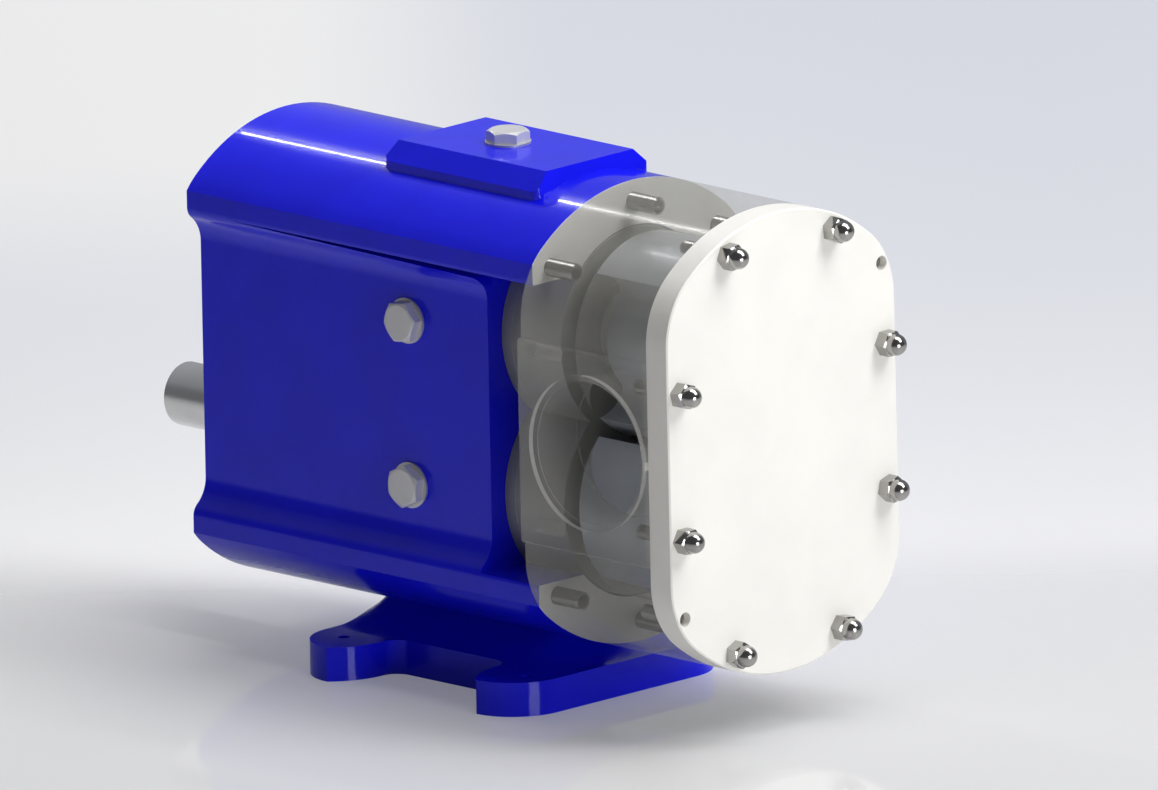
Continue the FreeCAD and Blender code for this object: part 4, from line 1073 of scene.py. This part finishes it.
@dataclass
class Studio:
    """Floor, backdrop, lamps and camera.

    Attributes:
        azimuth: Direction of the camera round the pump, in degrees.
        elevation: Height of the camera, in degrees.
        roll: Tilt of the picture, in degrees.
        width: Width of the picture at the pump, in metres.
        aim: Middle of the front cover's face.
        shift: Picture's middle from there, to the right and up, in metres.
        behind: Distance from the pump to the foot of the backdrop.
        bend: Radius of the bend between floor and backdrop.
        near_edge: Distance of the floor's near edge, on the camera's side.
        top_edge: Height of the backdrop.
        half_width: Half width of floor and backdrop.
        distance: Distance of the camera from the pump.
        target: The point that the lamps look at.
        stripe_target: The point that the strip lamp looks at.
    """

    azimuth: float = -44.91
    elevation: float = 13.67
    roll: float = 1.2
    width: float = 1158 / 1840
    aim: Vector = field(default_factory=lambda: Vector((0, COVER_Y, MIDDLE_Z)))
    shift: tuple[float, float] = (-0.11105, 0.02517)
    behind: float = 0.62
    bend: float = 0.25
    near_edge: float = -3.0
    top_edge: float = 5.0
    half_width: float = 6.0
    distance: float = 3.0
    target: tuple[float, float, float] = (0.0, -0.02, 0.15)
    stripe_target: tuple[float, float, float] = (0.0, -0.10, 0.28)

    def directions(self) -> tuple[Vector, Vector, Vector]:
        """Right, up and back of the camera."""
        turn = math.radians(self.azimuth)
        tilt = math.radians(self.elevation)
        lean = math.radians(self.roll)
        right = Vector((math.cos(turn), math.sin(turn), 0))
        up = Vector((-math.sin(turn) * math.sin(tilt), math.cos(turn) * math.sin(tilt), math.cos(tilt)))
        back = Vector((math.sin(turn) * math.cos(tilt), -math.cos(turn) * math.cos(tilt), math.sin(tilt)))
        across = math.cos(lean) * right - math.sin(lean) * up
        high = math.sin(lean) * right + math.cos(lean) * up
        return across, high, back

    def camera(self) -> None:
        """Makes the camera at the photograph's viewing angle."""
        across, high, back = self.directions()
        data = bpy.data.cameras.new("camera")
        data.type = "ORTHO"
        data.ortho_scale = self.width
        data.clip_end = 20.0
        view = shown("camera", data)
        centre = self.aim + across * self.shift[0] + high * self.shift[1]
        turn = Matrix((across, high, back)).transposed()
        view.matrix_world = Matrix.Translation(centre + back * self.distance) @ turn.to_4x4()
        bpy.context.scene.camera = view

    def sweep_material(self) -> bpy.types.Material:
        """Pale floor that keeps shadows and runs into a backdrop, both painted lighter at the left as the
        light falls.
        """
        warm, cold, haze = (0.88, 0.88, 0.88), (0.65, 0.68, 0.76), (0.80, 0.80, 0.83)
        left, right, mirrored = (0.80, 0.80, 0.80), (0.74, 0.74, 0.75), (0.14, 0.15, 0.17)
        graph = ShaderGraph("studio_sweep")
        turn = math.radians(self.azimuth)
        depth = graph.axis("Y") * math.cos(turn) - graph.axis("X") * math.sin(turn)
        across = graph.axis("X") * math.cos(turn) + graph.axis("Y") * math.sin(turn)
        high = graph.axis("Z")
        # Painted light on the backdrop: light grey at the top left, bluer and darker to the right and lower
        # down, with soft painted patches.
        tint = graph.blend(warm, cold, across.ramp(-0.13, 0.04).most(high.ramp(0.15, 0.06)))
        tint = graph.blend(tint, haze, graph.noise(1.9, 2).ramp(0.45, 0.8) * 0.3)
        # Painted light on the floor: lighter on the left, darker towards the right.
        ground = graph.blend(left, right, across.ramp(-0.1, 0.35))
        rise = depth.ramp(self.behind - 0.35, self.behind + 0.10)
        seen_colour = graph.blend(ground, tint, rise)
        # Glossy under the pump, dull farther back, where the strip lamp would draw a streak.
        dull = graph.choose(0.05 + graph.noise(9, 2) * 0.04, 0.8, depth.ramp(0.12, 0.34))
        floor = graph.node("ShaderNodeBsdfPrincipled", None, {
            "Base Color": ground, "Roughness": dull, "Specular IOR Level": 0.4})
        direct, gleam, through = [graph.node("ShaderNodeLightPath", output=f"Is {kind} Ray")
                                  for kind in ("Camera", "Glossy", "Transmission")]
        # Reflections see a darker backdrop, so that the paint and the polished nuts keep their contrast.
        seen_colour = graph.blend(seen_colour, mirrored, gleam * 0.9)
        glow = graph.node("ShaderNodeEmission", None, {"Color": seen_colour, "Strength": 1.0})
        seen = direct.most(gleam).most(through)
        share = seen * graph.choose(0.22, 1.0, rise)
        mixed = graph.node("ShaderNodeMixShader", None, {0: share, 1: floor, 2: glow})
        # Clear from its back, so that views from behind see the pump.
        reverse = graph.node("ShaderNodeNewGeometry", output="Backfacing")
        clear = graph.node("ShaderNodeBsdfTransparent")
        return graph.surface(graph.node("ShaderNodeMixShader", None, {0: reverse, 1: mixed, 2: clear}))

    def sweep(self) -> None:
        """Makes the floor and backdrop as one curved sheet."""
        turn = math.radians(self.azimuth)
        right = Vector((math.cos(turn), math.sin(turn), 0))
        away = Vector((-math.sin(turn), math.cos(turn), 0))
        start = self.behind - self.bend
        profile = [(self.near_edge, 0.0), (start, 0.0)]
        steps = 12
        for step in range(1, steps + 1):
            angle = math.radians(90 * step / steps)
            profile.append((start + self.bend * math.sin(angle), self.bend - self.bend * math.cos(angle)))
        profile.append((self.behind, self.top_edge))
        corners = []
        for along, up in profile:
            for side in (-1, 1):
                spot = away * along + right * (side * self.half_width)
                corners.append((spot.x, spot.y, up))
        faces = [(2 * step, 2 * step + 1, 2 * step + 3, 2 * step + 2) for step in range(len(profile) - 1)]
        mesh = bpy.data.meshes.new("studio_sweep")
        mesh.from_pydata(corners, [], faces)
        for face in mesh.polygons:
            face.use_smooth = True
        mesh.materials.append(self.sweep_material())
        sheet = shown("studio_sweep", mesh)

    @staticmethod
    def area(name: str, size: Sequence[float], power: float) -> bpy.types.Object:
        """Adds an area lamp that has no place yet.

        Args:
            name: Name of the lamp.
            size: Width and height.
            power: Power in watts.

        Returns:
            The lamp.
        """
        data = bpy.data.lights.new(name, "AREA")
        data.shape = "RECTANGLE"
        data.size, data.size_y = size
        data.energy = power
        return shown(name, data)

    def lamp(self, name: str, place: Sequence[float], size: Sequence[float], power: float) -> None:
        """Adds an area lamp that stands at a place and is aimed at the pump, the rest as in area."""
        spot = Vector(place)
        turn = (Vector(self.target) - spot).to_track_quat("-Z", "Y").to_matrix().to_4x4()
        self.area(name, size, power).matrix_world = Matrix.Translation(spot) @ turn

    def strip(self, name: str, first: Vector, last: Vector, width: float, power: float) -> None:
        """Adds a long thin lamp between two ends, facing the pump, the rest as in area."""
        middle = (first + last) / 2
        along = (last - first).normalized()
        back = middle - Vector(self.stripe_target)
        back = (back - along * back.dot(along)).normalized()
        turn = Matrix((along.cross(back), along, back)).transposed().to_4x4()
        lamp = self.area(name, (width, (last - first).length), power)
        lamp.matrix_world = Matrix.Translation(middle) @ turn

    def surroundings(self) -> None:
        """Soft light from all round, which the camera sees as a pale background."""
        world = bpy.data.worlds.new("studio")
        bpy.context.scene.world = world
        world.use_nodes = True
        world.node_tree.nodes.clear()
        graph = Graph(world.node_tree)
        light = graph.node("ShaderNodeBackground", None, {"Color": (0.93, 0.94, 1.0, 1.0), "Strength": 0.10})
        pale = graph.node("ShaderNodeBackground", None, {"Color": (0.70, 0.72, 0.77, 1.0), "Strength": 1.0})
        seen = graph.node("ShaderNodeLightPath", output="Is Camera Ray")
        mixed = graph.node("ShaderNodeMixShader", None, {0: seen, 1: light, 2: pale})
        graph.node("ShaderNodeOutputWorld", None, {"Surface": mixed})

    def build(self) -> None:
        """Sets up the whole studio."""
        self.camera()
        self.sweep()
        self.lamp("key", (0.75, -1.9, 1.9), (0.9, 0.9), 26)
        self.lamp("front", (-0.35, -1.9, 0.24), (0.7, 0.4), 9.5)
        self.lamp("top", (0.40, -0.7, 2.5), (1.3, 1.8), 40)
        self.strip("stripe", Vector((0.143, 0.51, 0.60)), Vector((0.143, 0.12, 0.60)), 0.010, 0.55)
        self.surroundings()
        bpy.context.scene.view_settings.view_transform = "Standard"
        log.info("studio ready")


def main() -> None:
    """Builds the scene in order."""
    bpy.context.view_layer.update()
    shop = Workshop()
    for node in frame["nodes"]:
        shop.paint_node(node)
    Castings(shop).build()
    CapNuts(shop).build()
    Plugs(shop).build()
    Studs(shop, "cover_studs", 1.25 * MM).build()
    Studs(shop, "joint_studs", 1.5 * MM).build()
    SunkScrews(shop, "rear_cover_screws", 5 * MM, TOWARDS_REAR).build()
    SunkScrews(shop, "retainer_screws", 6 * MM, TOWARDS_FRONT).build()
    SunkScrews(shop, "foot_screws", 10 * MM, DOWNWARDS).build()
    Gasket(shop).build()
    Rotors(shop).build()
    Studio().build()
    bpy.context.view_layer.update()


if __name__ == "__main__":
    main()
